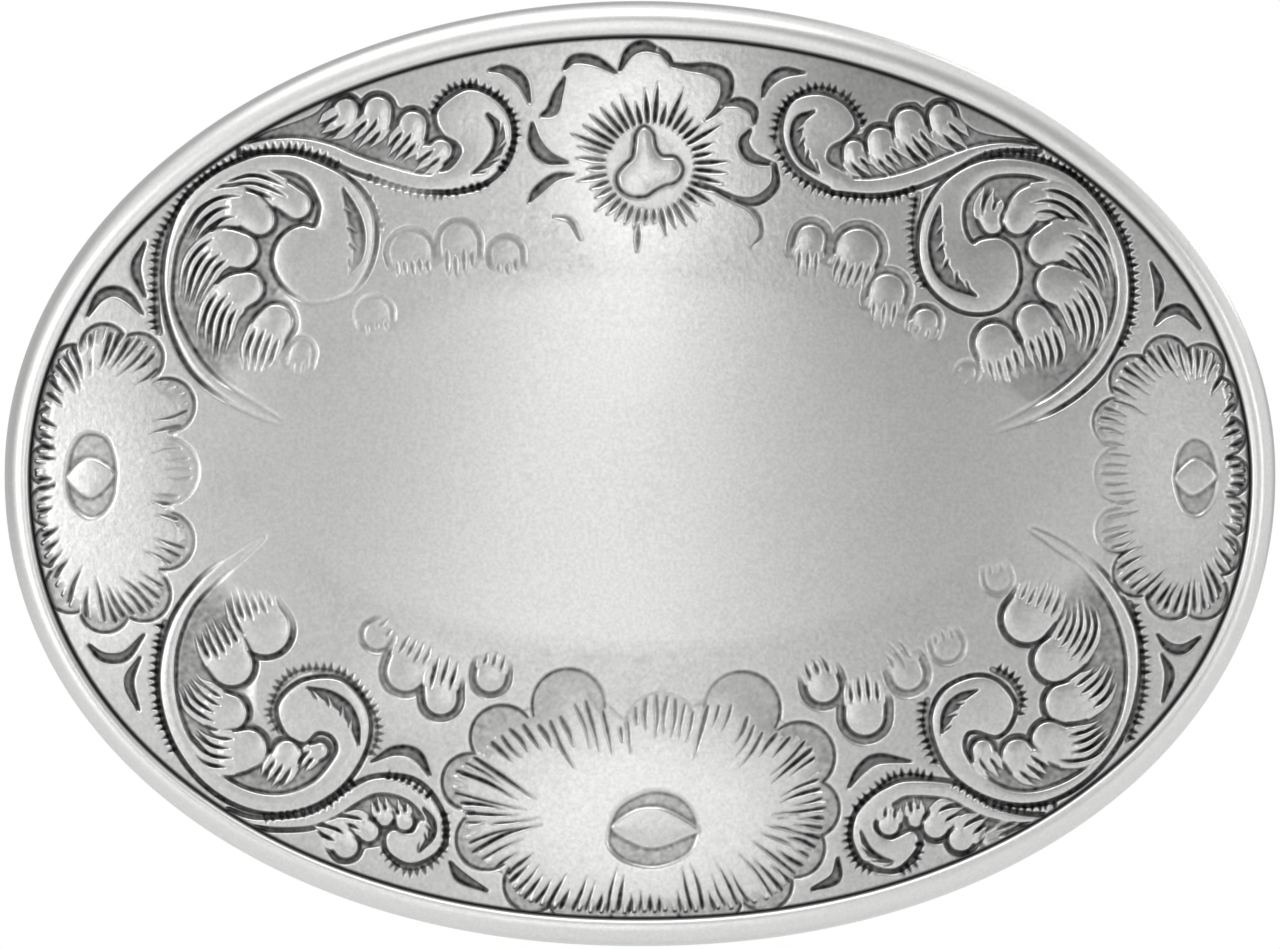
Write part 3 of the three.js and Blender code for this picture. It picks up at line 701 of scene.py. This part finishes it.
    (curl, [(30, -25.8, .18), (28, -25.7, .32), (26, -25.2, .42), (24.5, -24.4, .5), (23, -23.6, .55),
      (20, -23.4, .55), (18.6, -23.9, .6), (17.5, -24.7, .7), (16.7, -25.7, .7), (16.5, -27, .7),
      (17, -28.2, .7)], [(16.1, -27.6), (17, -28.9), (18.2, -29.4), (19.4, -29.2), (20.7, -27.6),
      (20.2, -26.6), (18.6, -27.2), (17.5, -26.6), (17.2, -25.8)]),
    (crescent, [(16.4, -26.6, .06), (16.9, -27.9, .22), (17.7, -28.6, .22), (18.8, -28.9, .06)], 1, 1.0, 3),
    *each(leaf,
      [(18.5, -26.1, .8), (18.6, -25.2, .6)],
      [(20.5, -25.7, .6), (20.4, -24.8, .45)],
      [(22, -26.2, .95), (22.6, -25.4, .8), (23.6, -25, .4)],
      [(23.9, -27.2, .95), (24.5, -26.5, .8), (25.4, -25.9, .4)]),
    (leaf, [(26, -27.2, .55), (26.8, -26.7, .5), (27.9, -26.2, .3)], .6),
    (teeth, [(15.6, -24.8), (16.6, -23.8), (18.2, -22.4), (20, -21.9), (21.9, -22.2)]),
    (teeth, [(15.3, -25.3), (15.1, -27.4), (15.9, -29.2), (17.5, -30.1)], -1),
    (teeth, [(21.1, -27.3), (20.9, -28.9), (19.6, -30)]),
    (teeth, [(23, -23.2), (25.3, -24.5), (27.9, -25.2), (31, -25)], -1),
    (crescent, [(15.5, -23.3, .08), (16.4, -22, .3), (17.7, -21.2, .34), (20.1, -21.4, .08)]),
    # leaves below the faded middle, on the right
    (leaf, [(13.6, -15.8, 1.2), (13.4, -15.1, 1.1), (12.9, -14, .8)], .9, 1, .6),
    (leaf, [(16.7, -18, 1.45), (16.7, -17, 1.4), (16.5, -15.2, 1)], 1, 1, .65),
    (leaf, [(19.9, -14.9, 1.15), (19.6, -14.2, 1.1), (18.7, -12.9, .8)], .7, .7, .6),
    (leaf, [(22.8, -12.8, 1.05), (22.5, -12, .9)], .35),
    (leaf, [(26.6, -7.8, .9), (26.4, -6.9, .8)], .3),
    # lower right scroll
    (scroll, [(29.2, -4.1), (31.5, -5.1), (34.5, -7.5), (36.8, -11.3), (37.1, -15.5), (35.9, -19.5),
      (33.2, -22.8), (29.7, -24.5), (26, -24.1), (23, -22), (21.7, -18.8), (22.4, -16.4), (24.5, -15.2),
      (26.4, -15.4), (27.8, -17), (27.5, -18.6), (26.5, -19.5), (25, -19.1), (24.2, -19.4), *LOWER_RIGHT,
      (30.8, -5.3)]),
    (crescent, [(25.1, -16.1, .05), (23.8, -16.7, .3), (22.9, -17.8, .38), (22.4, -19.3, .06)], -1, 1, 3),
    (teeth, [(20.8, -16.8), (20.7, -19), (21.7, -21.8)], -1, 1, .35),
    (teeth, [(26.5, -14.1), (28, -15), (28.8, -16.6), (28.6, -17.9)], 1, 1, .35),
    (teeth, [(37.1, -9.5), (37.9, -13), (37.9, -16.5), (36.9, -20)]),
    (basin, [*LOWER_RIGHT, (31.5, -8.5), (31, -12), (30.8, -16), (29.8, -19), (27.8, -20), (26, -20),
      (25, -19.8)]),
    *each(leaf,
      [(28.8, -10.8, 1.8), (29.6, -9.7, 1.75), (30.3, -8, 1.1)],
      [(30.9, -13.9, 1.6), (32, -13, 1.6), (32.8, -11.4, 1.2), (32.8, -9.8, .7)],
      [(31.6, -17.1, 1.45), (32.8, -16.8, 1.5), (34.1, -15.8, 1.05), (34.9, -14.5, .6)],
      [(30.5, -19.8, 1.35), (31.7, -20.4, 1.45), (33.2, -20.2, 1.1), (34.6, -19.2, .6)],
      [(28.1, -20.9, 1.15), (28.7, -21.6, 1.15), (29.8, -22.4, .75)],
      [(25.5, -20.6, .8), (25.7, -21.3, .8), (26.3, -22.1, .5)]),
    (crescent, [(38.9, -13.5, .08), (39.5, -15, .3), (39, -17, .08)], 1),
    (crescent, [(38.6, -12, .08), (39.4, -12.9, .28), (40.5, -13.1, .3), (41.8, -12.2, .08)], -1),
    # the flowers at the two ends
    (flower, [(-40, 9.4, 1.85, 1, .3), (-37.4, 8.6, 1.95, .9, .4), (-35.2, 5.1, 2.1, .8, .4),
      (-35.4, .2, 2.6, .65, .5), (-35.4, -5, 2.25, .8, .4), (-37, -9, 2.1, .85, .5),
      (-39.9, -10, 1.95, .85, .5), (-42.5, -8.5, 2, .9, .5), (-43.7, -5.4, 1.7, 1, .2),
      (-44.1, -2.4, 1.6, 1, .2), (-44.2, .6, 1.6, 1, .2), (-43.8, 3.5, 1.6, 1, .2), (-43.2, 6, 1.6, 1, .2),
      (-42.3, 8, 1.7, 1, .3)], (-40.9, 0), (0, .55), (.2, .32)),
    (eye, [(-42.7, -.4), (-42.5, 1.4), (-41.8, 2.7), (-40.9, 3), (-39.8, 2.6), (-39.2, 1.2), (-39.1, -.4),
      (-39.3, -1.8), (-40, -2.9), (-41, -3.3), (-42, -2.7), (-42.6, -1.6)], [(-42.7, -.3), (-41.8, .9),
      (-40.8, 1.1), (-39.9, .7), (-39.2, 0), (-39.9, -1.1), (-40.9, -1.8), (-41.9, -1.4)]),
    (flower, [(39.2, 8.6, 1.75, 1, .3), (41.9, 8, 1.75, 1, .3), (43, 5.6, 1.7, 1, .3),
      (43.7, 2.8, 1.6, 1, .2), (44, -.2, 1.6, 1, .2), (43.9, -3.2, 1.6, 1, .2), (43.2, -6, 1.7, 1, .3),
      (42, -9, 1.95, 1, .4), (39.6, -9, 1.95, 1, .4), (37, -7.4, 1.85, 1, .4), (35.6, -4.2, 1.8, .7, .4),
      (35.9, 0, 2.2, .6, .6), (35.6, 3.8, 1.95, .72, .4), (36.9, 6.9, 2, 1, .4)], (41.4, -.3), (0, .55),
      (.2, .32)),
    (eye, [(39.9, -.3), (40.1, 1.3), (40.7, 2.3), (41.5, 2.6), (42.4, 2.1), (42.9, .9), (43, -.3),
      (42.8, -1.7), (42.2, -2.7), (41.4, -3.1), (40.6, -2.7), (40.1, -1.6)], [(39.9, -.3), (40.6, .6),
      (41.4, 1.1), (42.3, .7), (43, -.2), (42.2, -1.1), (41.2, -1.6), (40.4, -1.1)]),
]


def engrave():
    """The whole ornament, worn away towards the plain satin middle."""
    relief = Relief()
    for step in ("sink", "rise", "mark"):
        for draw, *details in ORNAMENT:
            draw(relief, step, *details)
    x, z = relief.x[None, :], relief.z[:, None]
    reach = (x / PLAIN[0]) ** 2 + (z / np.where(z > 0, PLAIN[1], PLAIN[2])) ** 2
    kept = smooth((reach - 0.62) / 0.22)
    for x, z, radius, share in WORN:
        away = np.hypot(relief.x[None, :] - x, relief.z[:, None] - z)
        kept = kept * (1 - share * smooth(1.5 - away / radius))
    relief.height *= kept
    relief.tone = SATIN_TONE + kept * (relief.tone - SATIN_TONE)
    blotch = chance.normal(size=relief.tone.shape)
    for axis in (0, 1, 0, 1):
        blotch = sum(np.roll(blotch, shift, axis) for shift in range(-2, 3)) / 5
    blotch *= kept / blotch.std()
    relief.tone += blotch * np.where(relief.height < -0.15, 0.05, 0.02)
    relief.height += 0.0015 * blotch
    for name in ("height", "tone"):
        grid = getattr(relief, name)
        for axis in (0, 1):
            grid = (np.roll(grid, 1, axis) + 2 * grid + np.roll(grid, -1, axis)) / 4
        setattr(relief, name, grid)
    return relief


def sample(relief, grid, x, z):
    """A map's value between its grid points."""
    i = np.clip((x - relief.x[0]) / MAP_STEP, 0, len(relief.x) - 1.001)
    j = np.clip((z - relief.z[0]) / MAP_STEP, 0, len(relief.z) - 1.001)
    i0, j0 = i.astype(int), j.astype(int)
    fi, fj = i - i0, j - j0
    low = grid[j0, i0] * (1 - fi) + grid[j0, i0 + 1] * fi
    high = grid[j0 + 1, i0] * (1 - fi) + grid[j0 + 1, i0 + 1] * fi
    return low * (1 - fj) + high * fj


# ---- Finishes ----

def set_stops(ramp, stops, colour=(1, 1, 1)):
    """Gives a colour ramp its stops, each a place and how much of the colour it has."""
    for at, _ in stops[1:-1]:
        ramp.elements.new(at)
    for element, (at, value) in zip(ramp.elements, stops):
        element.position = at
        element.color = (*[value * c for c in colour], 1)


def metal(name, colour, roughness, grain, grain_scale, mottle, tone_layer=None):
    """A metal with a fine mottle and grain; with a tone layer, dark and matte where that is low."""
    made = bpy.data.materials.new(name)
    made.use_nodes = True
    nodes, links = made.node_tree.nodes, made.node_tree.links
    shader = nodes["Principled BSDF"]
    shader.inputs["Metallic"].default_value = 1.0
    place = nodes.new("ShaderNodeTexCoord")

    def noise(scale, detail):
        made = nodes.new("ShaderNodeTexNoise")
        made.inputs["Scale"].default_value = scale
        made.inputs["Detail"].default_value = detail
        links.new(place.outputs["Object"], made.inputs["Vector"])
        return made.outputs["Fac"]

    def span(value, low, high, to_low, to_high):
        made = nodes.new("ShaderNodeMapRange")
        ends = {"From Min": low, "From Max": high, "To Min": to_low, "To Max": to_high}
        for socket, number in ends.items():
            made.inputs[socket].default_value = number
        links.new(value, made.inputs["Value"])
        return made.outputs["Result"]

    def times(a, b):
        made = nodes.new("ShaderNodeMath")
        made.operation = "MULTIPLY"
        links.new(a, made.inputs[0])
        links.new(b, made.inputs[1])
        return made.outputs["Value"]

    cloud = noise(90.0, 5.0)
    speck = noise(3600.0, 3.0)
    shade = nodes.new("ShaderNodeValToRGB")
    steps = [(0.0, 0.93), (1.0, 1.0)]
    source = span(cloud, 0.35, 0.65, 0.0, 1.0)
    rough = span(cloud, 0.3, 0.7, 0.95 * roughness, 1.05 * roughness)
    if tone_layer:
        tone = nodes.new("ShaderNodeAttribute")
        tone.attribute_name = tone_layer
        source = tone.outputs["Fac"]
        steps = [(0.0, 0.03), (0.35, 0.34), (0.7, 0.72), (1.0, 1.0)]
        rough = times(span(source, 0.3, 0.75, 2.0, 1.0), rough)
    set_stops(shade.color_ramp, steps, colour)
    links.new(source, shade.inputs["Fac"])
    fleck = nodes.new("ShaderNodeVectorMath")
    fleck.operation = "SCALE"
    links.new(shade.outputs["Color"], fleck.inputs[0])
    links.new(span(speck, 0.3, 0.7, 1 - mottle, 1.0), fleck.inputs["Scale"])
    links.new(fleck.outputs["Vector"], shader.inputs["Base Color"])
    links.new(rough, shader.inputs["Roughness"])
    bump = nodes.new("ShaderNodeBump")
    bump.inputs["Strength"].default_value = grain
    bump.inputs["Distance"].default_value = 0.0001
    links.new(noise(grain_scale, 3.0), bump.inputs["Height"])
    links.new(bump.outputs["Normal"], shader.inputs["Normal"])
    return made


ENGRAVED = metal("engraved silver", (0.9, 0.9, 0.89), 0.3, 0.08, 4500.0, 0.16, "tone")
POLISHED = metal("polished silver", (0.95, 0.95, 0.94), 0.36, 0.05, 2500.0, 0.08, "tone")
SATIN = metal("satin silver", (0.68, 0.68, 0.67), 0.36, 0.2, 1500.0, 0.15)
STEEL = metal("plated steel", (0.76, 0.76, 0.75), 0.2, 0.04, 2000.0, 0.06)


# ---- The pieces ----

def coated(made, finish):
    """The object, with its one material."""
    made.data.materials.append(finish)
    return made


def build_rim():
    """The plain rim, its inner wall dark where the polish doesn't reach. Each corner is y and a share of the
    way across, where 1 is the inner oval and 2 the outer one."""
    theta = np.linspace(0, 2 * np.pi, 480, endpoint=False)
    fx, fz = oval(FIELD, theta)
    ox, oz = oval(OUTER, theta)
    corners = [(1, 0), (1, -3.8), (1.05, -4.2), (1.2, -4.38), (1.42, -4.4), (1.65, -4.2), (1.86, -3.72),
               (1.97, -3.1), (2, -2.5), (2, -0.4), (1.97, -0.1), (1.88, 0)]
    profile = np.array([(*a, 0) for a in corners])
    fine = spline(profile[1:9], spacing=0.12)[:, :2]
    fine = np.vstack([fine, [(2, y) for y in (-2, -1.2, -0.4)], corners[-2:], [(1.4, 0)], corners[:1],
                      [(1, -1.3), (1, -2.6)]])
    rings = []
    for share, y in fine:
        x = fx + (ox - fx) * (share - 1)
        z = fz + (oz - fz) * (share - 1)
        rings.append(bent(x, y, z))
    made = loft("rim", rings)
    tone = 0.04 + 0.9 * smooth((fine[:, 0] - 1.0) / 0.13)
    set_tone(made, np.repeat(tone, len(theta)))
    return coated(made, POLISHED)


def build_face():
    """The domed plate, with its relief in the mesh itself."""
    relief = engrave()
    columns, rows = ((1000, 740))
    u, v = np.meshgrid(np.linspace(-1, 1, columns), np.linspace(-1, 1, rows))
    px = u * np.sqrt(1 - v * v / 2)
    pz = v * np.sqrt(1 - u * u / 2)
    theta = np.arctan2(pz, px)
    share = np.hypot(px, pz)
    ex, ez = oval((FIELD[0] - EDGE_GAP, FIELD[1] - EDGE_GAP, 0), theta)
    x, z = share * ex, FIELD[2] + share * ez
    edge = smooth((share - 0.992) / 0.007)
    height = sample(relief, relief.height, x, z) * (1 - edge)
    tone = sample(relief, relief.tone, x, z) * (1 - 0.9 * edge)
    front = FACE_FRONT - DOME * (1 - share ** 2) + x * x / (2 * BEND_RADIUS)
    points = np.stack([x, front - height, z], axis=-1).reshape(-1, 3)
    index = np.arange(rows * columns).reshape(rows, columns)
    faces = np.stack([index[:-1, :-1], index[:-1, 1:], index[1:, 1:], index[1:, :-1]], axis=-1)
    border = np.concatenate([index[0, :-1], index[:-1, -1], index[-1, :0:-1], index[:0:-1, 0]])
    rear = points[border] + [0, FACE_THICKNESS, 0]
    first = len(points)
    behind = first + np.arange(len(border))
    side = np.stack([border, behind, np.roll(behind, -1), np.roll(border, -1)], axis=1)
    points = np.vstack([points, rear, [[0, FACE_FRONT - DOME + FACE_THICKNESS, FIELD[2]]]])
    middle = np.full(len(border), len(points) - 1)
    fan = np.stack([behind, middle, np.roll(behind, -1)], axis=1)
    made = mesh_object("face", points, faces.reshape(-1, 4).tolist() + side.tolist() + fan.tolist())
    values = np.full(len(points), 0.3, np.float32)
    values[:first] = tone.ravel()
    set_tone(made, values)
    return coated(made, ENGRAVED)


def turned(angle):
    """The matrix that turns rows of points by an angle about the z axis."""
    c, s = math.cos(angle), math.sin(angle)
    return np.array([[c, s, 0], [-s, c, 0], [0, 0, 1]])


def seat(x):
    """A frame on the back plate's rear face at x, its second axis the face's normal there."""
    return turned(math.atan(x / BEND_RADIUS)), np.array([x, x * x / (2 * BEND_RADIUS), 0])


def seated(points, where):
    """Points in a seat's own frame, moved to where the seat is."""
    turn, origin = where
    return np.asarray(points, float) @ turn + origin


def rounded(section, radius, steps=4):
    """A closed section with its corners rounded, each row being x, y and whether to round it."""
    out = []
    count = len(section)
    for i, (x, y, sharp) in enumerate(section):
        here = np.array([x, y])
        if not sharp:
            out.append(here)
            continue
        before = np.array(section[i - 1][:2]) - here
        after = np.array(section[(i + 1) % count][:2]) - here
        reach = min(radius, 0.45 * np.hypot(*before), 0.45 * np.hypot(*after))
        a = here + reach * before / np.hypot(*before)
        b = here + reach * after / np.hypot(*after)
        for t in np.linspace(0, 1, steps + 1):
            out.append((1 - t) ** 2 * a + 2 * t * (1 - t) * here + t * t * b)
    return np.array(out)


def slab(name, section, low, high, edge, axes, where, finish):
    """A closed section drawn from low to high, its two edges eased. axes says where its three numbers go."""
    d = np.roll(section, -1, axis=0) - np.roll(section, 1, axis=0)
    d /= np.maximum(np.hypot(d[:, 0], d[:, 1]), 1e-9)[:, None]
    inward = np.stack([-d[:, 1], d[:, 0]], axis=1)
    following = np.roll(section, -1, axis=0)
    area = np.sum(section[:, 0] * following[:, 1] - section[:, 1] * following[:, 0])
    inward *= 1 if area > 0 else -1
    rings = []
    for turn in np.radians((0, 30, 60, 90)):
        rings.append((section + inward * edge * (1 - math.sin(turn)), low + edge * (1 - math.cos(turn))))
    for turn in np.radians((90, 60, 30, 0)):
        rings.append((section + inward * edge * (1 - math.sin(turn)), high - edge * (1 - math.cos(turn))))
    stacked = np.array([np.column_stack([flat, np.full(len(flat), at)]) for flat, at in rings])
    made = loft(name, seated(stacked[:, :, axes], where), caps=True)
    tidy_normals(made)
    for polygon in made.data.polygons[-2:]:
        polygon.use_smooth = False
    return coated(made, finish)


def tidy_normals(made):
    """Turns every face outwards."""
    shape = bmesh.new()
    shape.from_mesh(made.data)
    bmesh.ops.recalc_face_normals(shape, faces=shape.faces)
    shape.to_mesh(made.data)
    shape.free()


def turning(name, path, around, place, finish, normal=(0, 0, 1.0)):
    """A round bar along a path in the plane that has this normal. Each row is x, y, z and the radius."""
    path = np.array(path, float)
    centre = path[:, :3]
    d = np.gradient(centre, axis=0)
    d /= np.maximum(np.linalg.norm(d, axis=1), 1e-9)[:, None]
    across = np.cross(d, normal)
    across /= np.maximum(np.linalg.norm(across, axis=1), 1e-9)[:, None]
    over = np.cross(across, d)
    turns = np.linspace(0, 2 * np.pi, around, endpoint=False)
    ring = np.cos(turns)[None, :, None] * across[:, None] + np.sin(turns)[None, :, None] * over[:, None]
    points = centre[:, None] + ring * path[:, 3, None, None]
    made = loft(name, place(points), caps=True)
    tidy_normals(made)
    return coated(made, finish)


def eased(corners, radius=0.14):
    """A lathe profile of [distance along, radius] rows with its corners eased."""
    section = [(a, r, 0 < i < len(corners) - 1) for i, (a, r) in enumerate(corners)]
    return rounded(section, radius, 4)


def build_back():
    """The sheet behind the face, its edge eased."""
    theta = np.linspace(0, 2 * np.pi, 360, endpoint=False)
    ex, ez = oval((FIELD[0] - EDGE_GAP, FIELD[1] - EDGE_GAP, 0), theta)
    shares = np.linspace(0.02, 0.985, 26)
    rows = [(share, BACK_FRONT) for share in shares]
    rows += [(0.996, -0.86), (1.0, -0.75), (1.0, -0.15), (0.996, -0.04)]
    rows += [(share, 0.0) for share in shares[::-1]]
    rings = []
    for share, y in rows:
        rings.append(bent(share * ex, y, FIELD[2] + share * ez))
    made = loft("back_sheet", rings, caps=True)
    tidy_normals(made)
    return coated(made, SATIN)


CLIP_SEAT = seat(18.0)
HOOK_SEAT = seat(-27.0)
AXIS_HEIGHT = 1.9            # of the bail's hinge above the back plate
WIRE = 1.5                   # radius of the bail
CLIP_BORE = 1.7              # radius of the clip's arch inside
CLIP_OUTSIDE = 2.7           # and outside
CLIP_FOOT = 0.2              # what the riveted pieces stand clear of the back plate
PRONG = 2.0                  # radius of the hook
BALL = 2.35                  # radius of the ball at its tip
PIN = 1.0                    # radius of a rivet's shank
HEAD = 1.55                  # radius of its two heads


def build_clip():
    """The sheet clip, arched over the bail's hinge leg."""
    top = 1.2
    rise = math.asin((top - AXIS_HEIGHT) / CLIP_OUTSIDE)
    section = [(7.1, CLIP_FOOT, True), (7.1, top, True)]
    for a in np.linspace(rise, math.pi - rise, 40):
        section.append((CLIP_OUTSIDE * math.cos(a), AXIS_HEIGHT + CLIP_OUTSIDE * math.sin(a), False))
    section += [(-7.1, top, True), (-7.1, CLIP_FOOT, True), (-CLIP_BORE, CLIP_FOOT, True)]
    for a in np.linspace(math.pi, 0, 28):
        section.append((CLIP_BORE * math.cos(a), AXIS_HEIGHT + CLIP_BORE * math.sin(a), False))
    section.append((CLIP_BORE, CLIP_FOOT, True))
    return slab("clip", rounded(section, 0.18), -17, 17, 0.16, (0, 1, 2), CLIP_SEAT, SATIN)


def build_bail():
    """One wire, bent to a loop whose two ends meet inside the clip."""
    leg, corner, reach, gap = 21.75, 4.0, 18.5, 0.3
    turns = np.linspace(0, math.pi / 2, 14)[1:]
    spots = [(0, z) for z in np.linspace(gap, leg - corner, 24)]
    spots += [(corner - corner * math.cos(a), leg - corner + corner * math.sin(a)) for a in turns]
    spots += [(x, leg) for x in np.linspace(corner, reach - corner, 12)[1:]]
    spots += [(reach - corner + corner * math.sin(a), leg - corner + corner * math.cos(a)) for a in turns]
    spots += [(reach, z) for z in np.linspace(leg - corner, 0, 20)[1:]]
    spots += [(x, -z) for x, z in spots[-2::-1]]
    rows = [(x, 0, z, WIRE) for x, z in spots[1:-1]]
    ends = [(0, 1.3), (0.06, 1.44), (0.2, WIRE)]      # how far from an end, and the eased radius there
    rows = [(0, 0, gap + deep, radius) for deep, radius in ends] + rows
    rows += [(0, 0, -gap - deep, radius) for deep, radius in ends[::-1]]
    turn = turned(math.radians(21))
    origin = seated([[0, AXIS_HEIGHT, 0]], CLIP_SEAT)[0]
    return turning("bail_wire", rows, 28, lambda p: p @ turn + origin, STEEL, (0, 1, 0))


def build_hook():
    """The hook: its peened head inside, a collar on the base, and a prong bent over to a ball tip."""
    stem = eased([(-1.9, 0), (-1.9, 2.3), (-1.1, 2.4), (-1.1, 1.6), (1.6, 1.6), (1.6, 3.0), (2.2, 2.8),
                  (2.75, 2.05)])
    rows = [(0, y, 0, max(r, 0.01)) for y, r in stem]
    rows += [(0, y, 0, PRONG) for y in np.linspace(3.0, 6.8, 8)]
    start, elbow, end = np.array([0, 6.8]), np.array([0, 9.4]), np.array([-2.6, 9.4])
    for t in np.linspace(0, 1, 18)[1:]:
        x, y = (1 - t) ** 2 * start + 2 * t * (1 - t) * elbow + t * t * end
        rows.append((x, y, 0, PRONG))
    tongue = np.array([-4.6, 0.35])
    length = np.hypot(*tongue)
    tip = length + BALL * np.sin(np.linspace(0.08, math.pi / 2, 16))
    for along in [*np.linspace(0, length, 14)[1:], *tip]:
        ball = max(0.0, BALL ** 2 - (along - length) ** 2)
        radius = max(PRONG if along < length else 0.0, math.sqrt(ball))
        x, y = end + tongue * along / length
        rows.append((x, y, 0, max(radius, 0.02)))
    return turning("hook", rows, 36, lambda p: seated(p, HOOK_SEAT), STEEL)


def build_base():
    """The pad under the hook, with rounded ends."""
    corners = [(5.5, -8.5, True), (5.5, 8.5, True), (-5.5, 8.5, True), (-5.5, -8.5, True)]
    section = rounded(corners, 4.6, 12)
    return slab("base", section, CLIP_FOOT, 1.4, 0.22, (0, 2, 1), HOOK_SEAT, SATIN)


def build_rivet(name, x, z, sheet, where):
    """A rivet through a sheet of this thickness, with a flat head inside and a domed one outside."""
    inside, outside = -1.1, sheet + 0.4
    turns = np.linspace(0.12, math.pi / 2, 12)
    dome = [(outside + 0.75 * math.sin(a), HEAD * math.cos(a)) for a in turns]
    shank = [(inside - 0.8, 0), (inside - 0.8, HEAD), (inside, HEAD), (inside, PIN), (outside, PIN)]
    shank = eased(shank, 0.1)
    rows = [(x, y, z, max(r, 0.01)) for y, r in [*shank, (outside, 1.5), *dome]]
    return turning(name, rows, 32, lambda p: seated(p, where), STEEL)


def add(made, body, slot, *nodes):
    """Says which body a piece moves with and the CAD nodes that it stands for. Its material slot is not
    used.
    """
    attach(made, body)
    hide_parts(*nodes)


add(build_rim(), "buckle", "polished_silver", "rim_band")
add(build_face(), "buckle", "antique_silver", "face_plate")
add(build_back(), "buckle", "satin_silver", "back_plate")
add(build_clip(), "buckle", "satin_silver", "bail_clip")
add(build_bail(), "bail", "plated_steel", "strap_bail")
add(build_base(), "buckle", "satin_silver", "hook_base")
add(build_hook(), "buckle", "plated_steel", "belt_hook")
for i, (x, z) in enumerate([(-4.9, -12), (-4.9, 12), (4.9, -12), (4.9, 12)], 1):
    rivet = build_rivet(f"clip_rivet_head_{i}", x, z, 1.0, CLIP_SEAT)
    add(rivet, "buckle", "plated_steel", f"clip_rivet_{i}")
for i, z in enumerate([-5.9, 5.9], 1):
    rivet = build_rivet(f"hook_rivet_head_{i}", 0, z, 1.2, HOOK_SEAT)
    add(rivet, "buckle", "plated_steel", f"hook_rivet_{i}")


# ---- Floor, light and camera ----

# What the metal reflects from far off, from the buckle's front to its back: place and brightness.
GLOW = [(0.0, 0.28), (0.04, 0.29), (0.1, 0.37), (0.2, 0.78), (0.55, 0.78), (0.75, 0.35), (1.0, 0.5)]
# Soft lamps that face the buckle: name, place, size and power.
LAMPS = [
    ("top light", (-0.15, -0.35, 0.8), (0.8, 0.3), 2.2),
    ("middle light", (-0.07, -1.15, 0.2), (0.24, 0.7), 0.48),
    ("glare light", (0.0, -1.15, 0.16), (0.14, 0.16), 0.2),
    ("left light", (-0.78, -0.72, -0.1), (0.5, 0.8), 2.5),
    ("right light", (0.85, -0.65, -0.05), (0.25, 0.8), 1.4),
    ("side light", (0.52, -1.0, -0.1), (0.1, 0.4), 0.22),
    ("low light", (0, -0.8, -0.5), (0.7, 0.2), 4.2),
    ("lower light", (-0.05, -1.1, -0.17), (0.55, 0.15), 0.8),
    ("back light", (0.5, 0.8, 0.5), (0.5, 0.5), 1.6),
]
FLOOR_HEIGHT = -0.12
CAMERA_PLACE = (0, -1.0, -0.00007)
SEEN_WIDTH = 0.09545         # of the plane through the buckle that fills the picture's width


def light_world(scene):
    """White where the camera sees it, and the glow where the metal reflects it."""
    world = bpy.data.worlds.new("studio")
    scene.world = world
    world.use_nodes = True
    nodes, links = world.node_tree.nodes, world.node_tree.links
    nodes.clear()
    out = nodes.new("ShaderNodeOutputWorld")
    mix = nodes.new("ShaderNodeMixShader")
    seen = nodes.new("ShaderNodeBackground")
    seen.inputs["Color"].default_value = (1, 1, 1, 1)
    lit = nodes.new("ShaderNodeBackground")
    way = nodes.new("ShaderNodeTexCoord")
    towards = nodes.new("ShaderNodeVectorMath")
    towards.operation = "DOT_PRODUCT"
    towards.inputs[1].default_value = (-0.2, 0.49, -0.05)
    links.new(way.outputs["Generated"], towards.inputs[0])
    half = nodes.new("ShaderNodeMath")
    half.inputs[1].default_value = 0.5
    links.new(towards.outputs["Value"], half.inputs[0])
    glow = nodes.new("ShaderNodeValToRGB")
    set_stops(glow.color_ramp, GLOW)
    links.new(half.outputs["Value"], glow.inputs["Fac"])
    links.new(glow.outputs["Color"], lit.inputs["Color"])
    path = nodes.new("ShaderNodeLightPath")
    links.new(path.outputs["Is Camera Ray"], mix.inputs["Fac"])
    links.new(lit.outputs["Background"], mix.inputs[1])
    links.new(seen.outputs["Background"], mix.inputs[2])
    links.new(mix.outputs["Shader"], out.inputs["Surface"])


def studio():
    """The pale floor, the lights and the camera, square on to the face."""
    scene = bpy.context.scene
    light_world(scene)
    scene.view_settings.view_transform = "Standard"

    floor_mesh = bpy.data.meshes.new("floor")
    corners = [(x, y, FLOOR_HEIGHT) for x, y in ((-1, -1), (1, -1), (1, 1), (-1, 1))]
    floor_mesh.from_pydata(corners, [], [(0, 1, 2, 3)])
    floor = bpy.data.objects.new("floor", floor_mesh)
    scene.collection.objects.link(floor)
    pale = bpy.data.materials.new("pale floor")
    pale.use_nodes = True
    shader = pale.node_tree.nodes["Principled BSDF"]
    shader.inputs["Base Color"].default_value = (0.85, 0.85, 0.85, 1)
    shader.inputs["Roughness"].default_value = 0.8
    floor.data.materials.append(pale)

    for name, place, size, power in LAMPS:
        lamp = bpy.data.lights.new(name, "AREA")
        lamp.shape = "RECTANGLE"
        lamp.size, lamp.size_y = size
        lamp.energy = power
        made = bpy.data.objects.new(name, lamp)
        scene.collection.objects.link(made)
        made.location = place
        made.visible_camera = False
        made.rotation_euler = (-Vector(place)).to_track_quat("-Z", "Y").to_euler()

    camera = bpy.data.objects.new("camera", bpy.data.cameras.new("camera"))
    scene.collection.objects.link(camera)
    camera.location = CAMERA_PLACE
    camera.rotation_euler = (math.pi / 2, 0, 0)
    camera.data.sensor_width = 36
    camera.data.lens = 36 * -CAMERA_PLACE[1] / SEEN_WIDTH
    camera.data.clip_start = 0.01
    scene.camera = camera


studio()
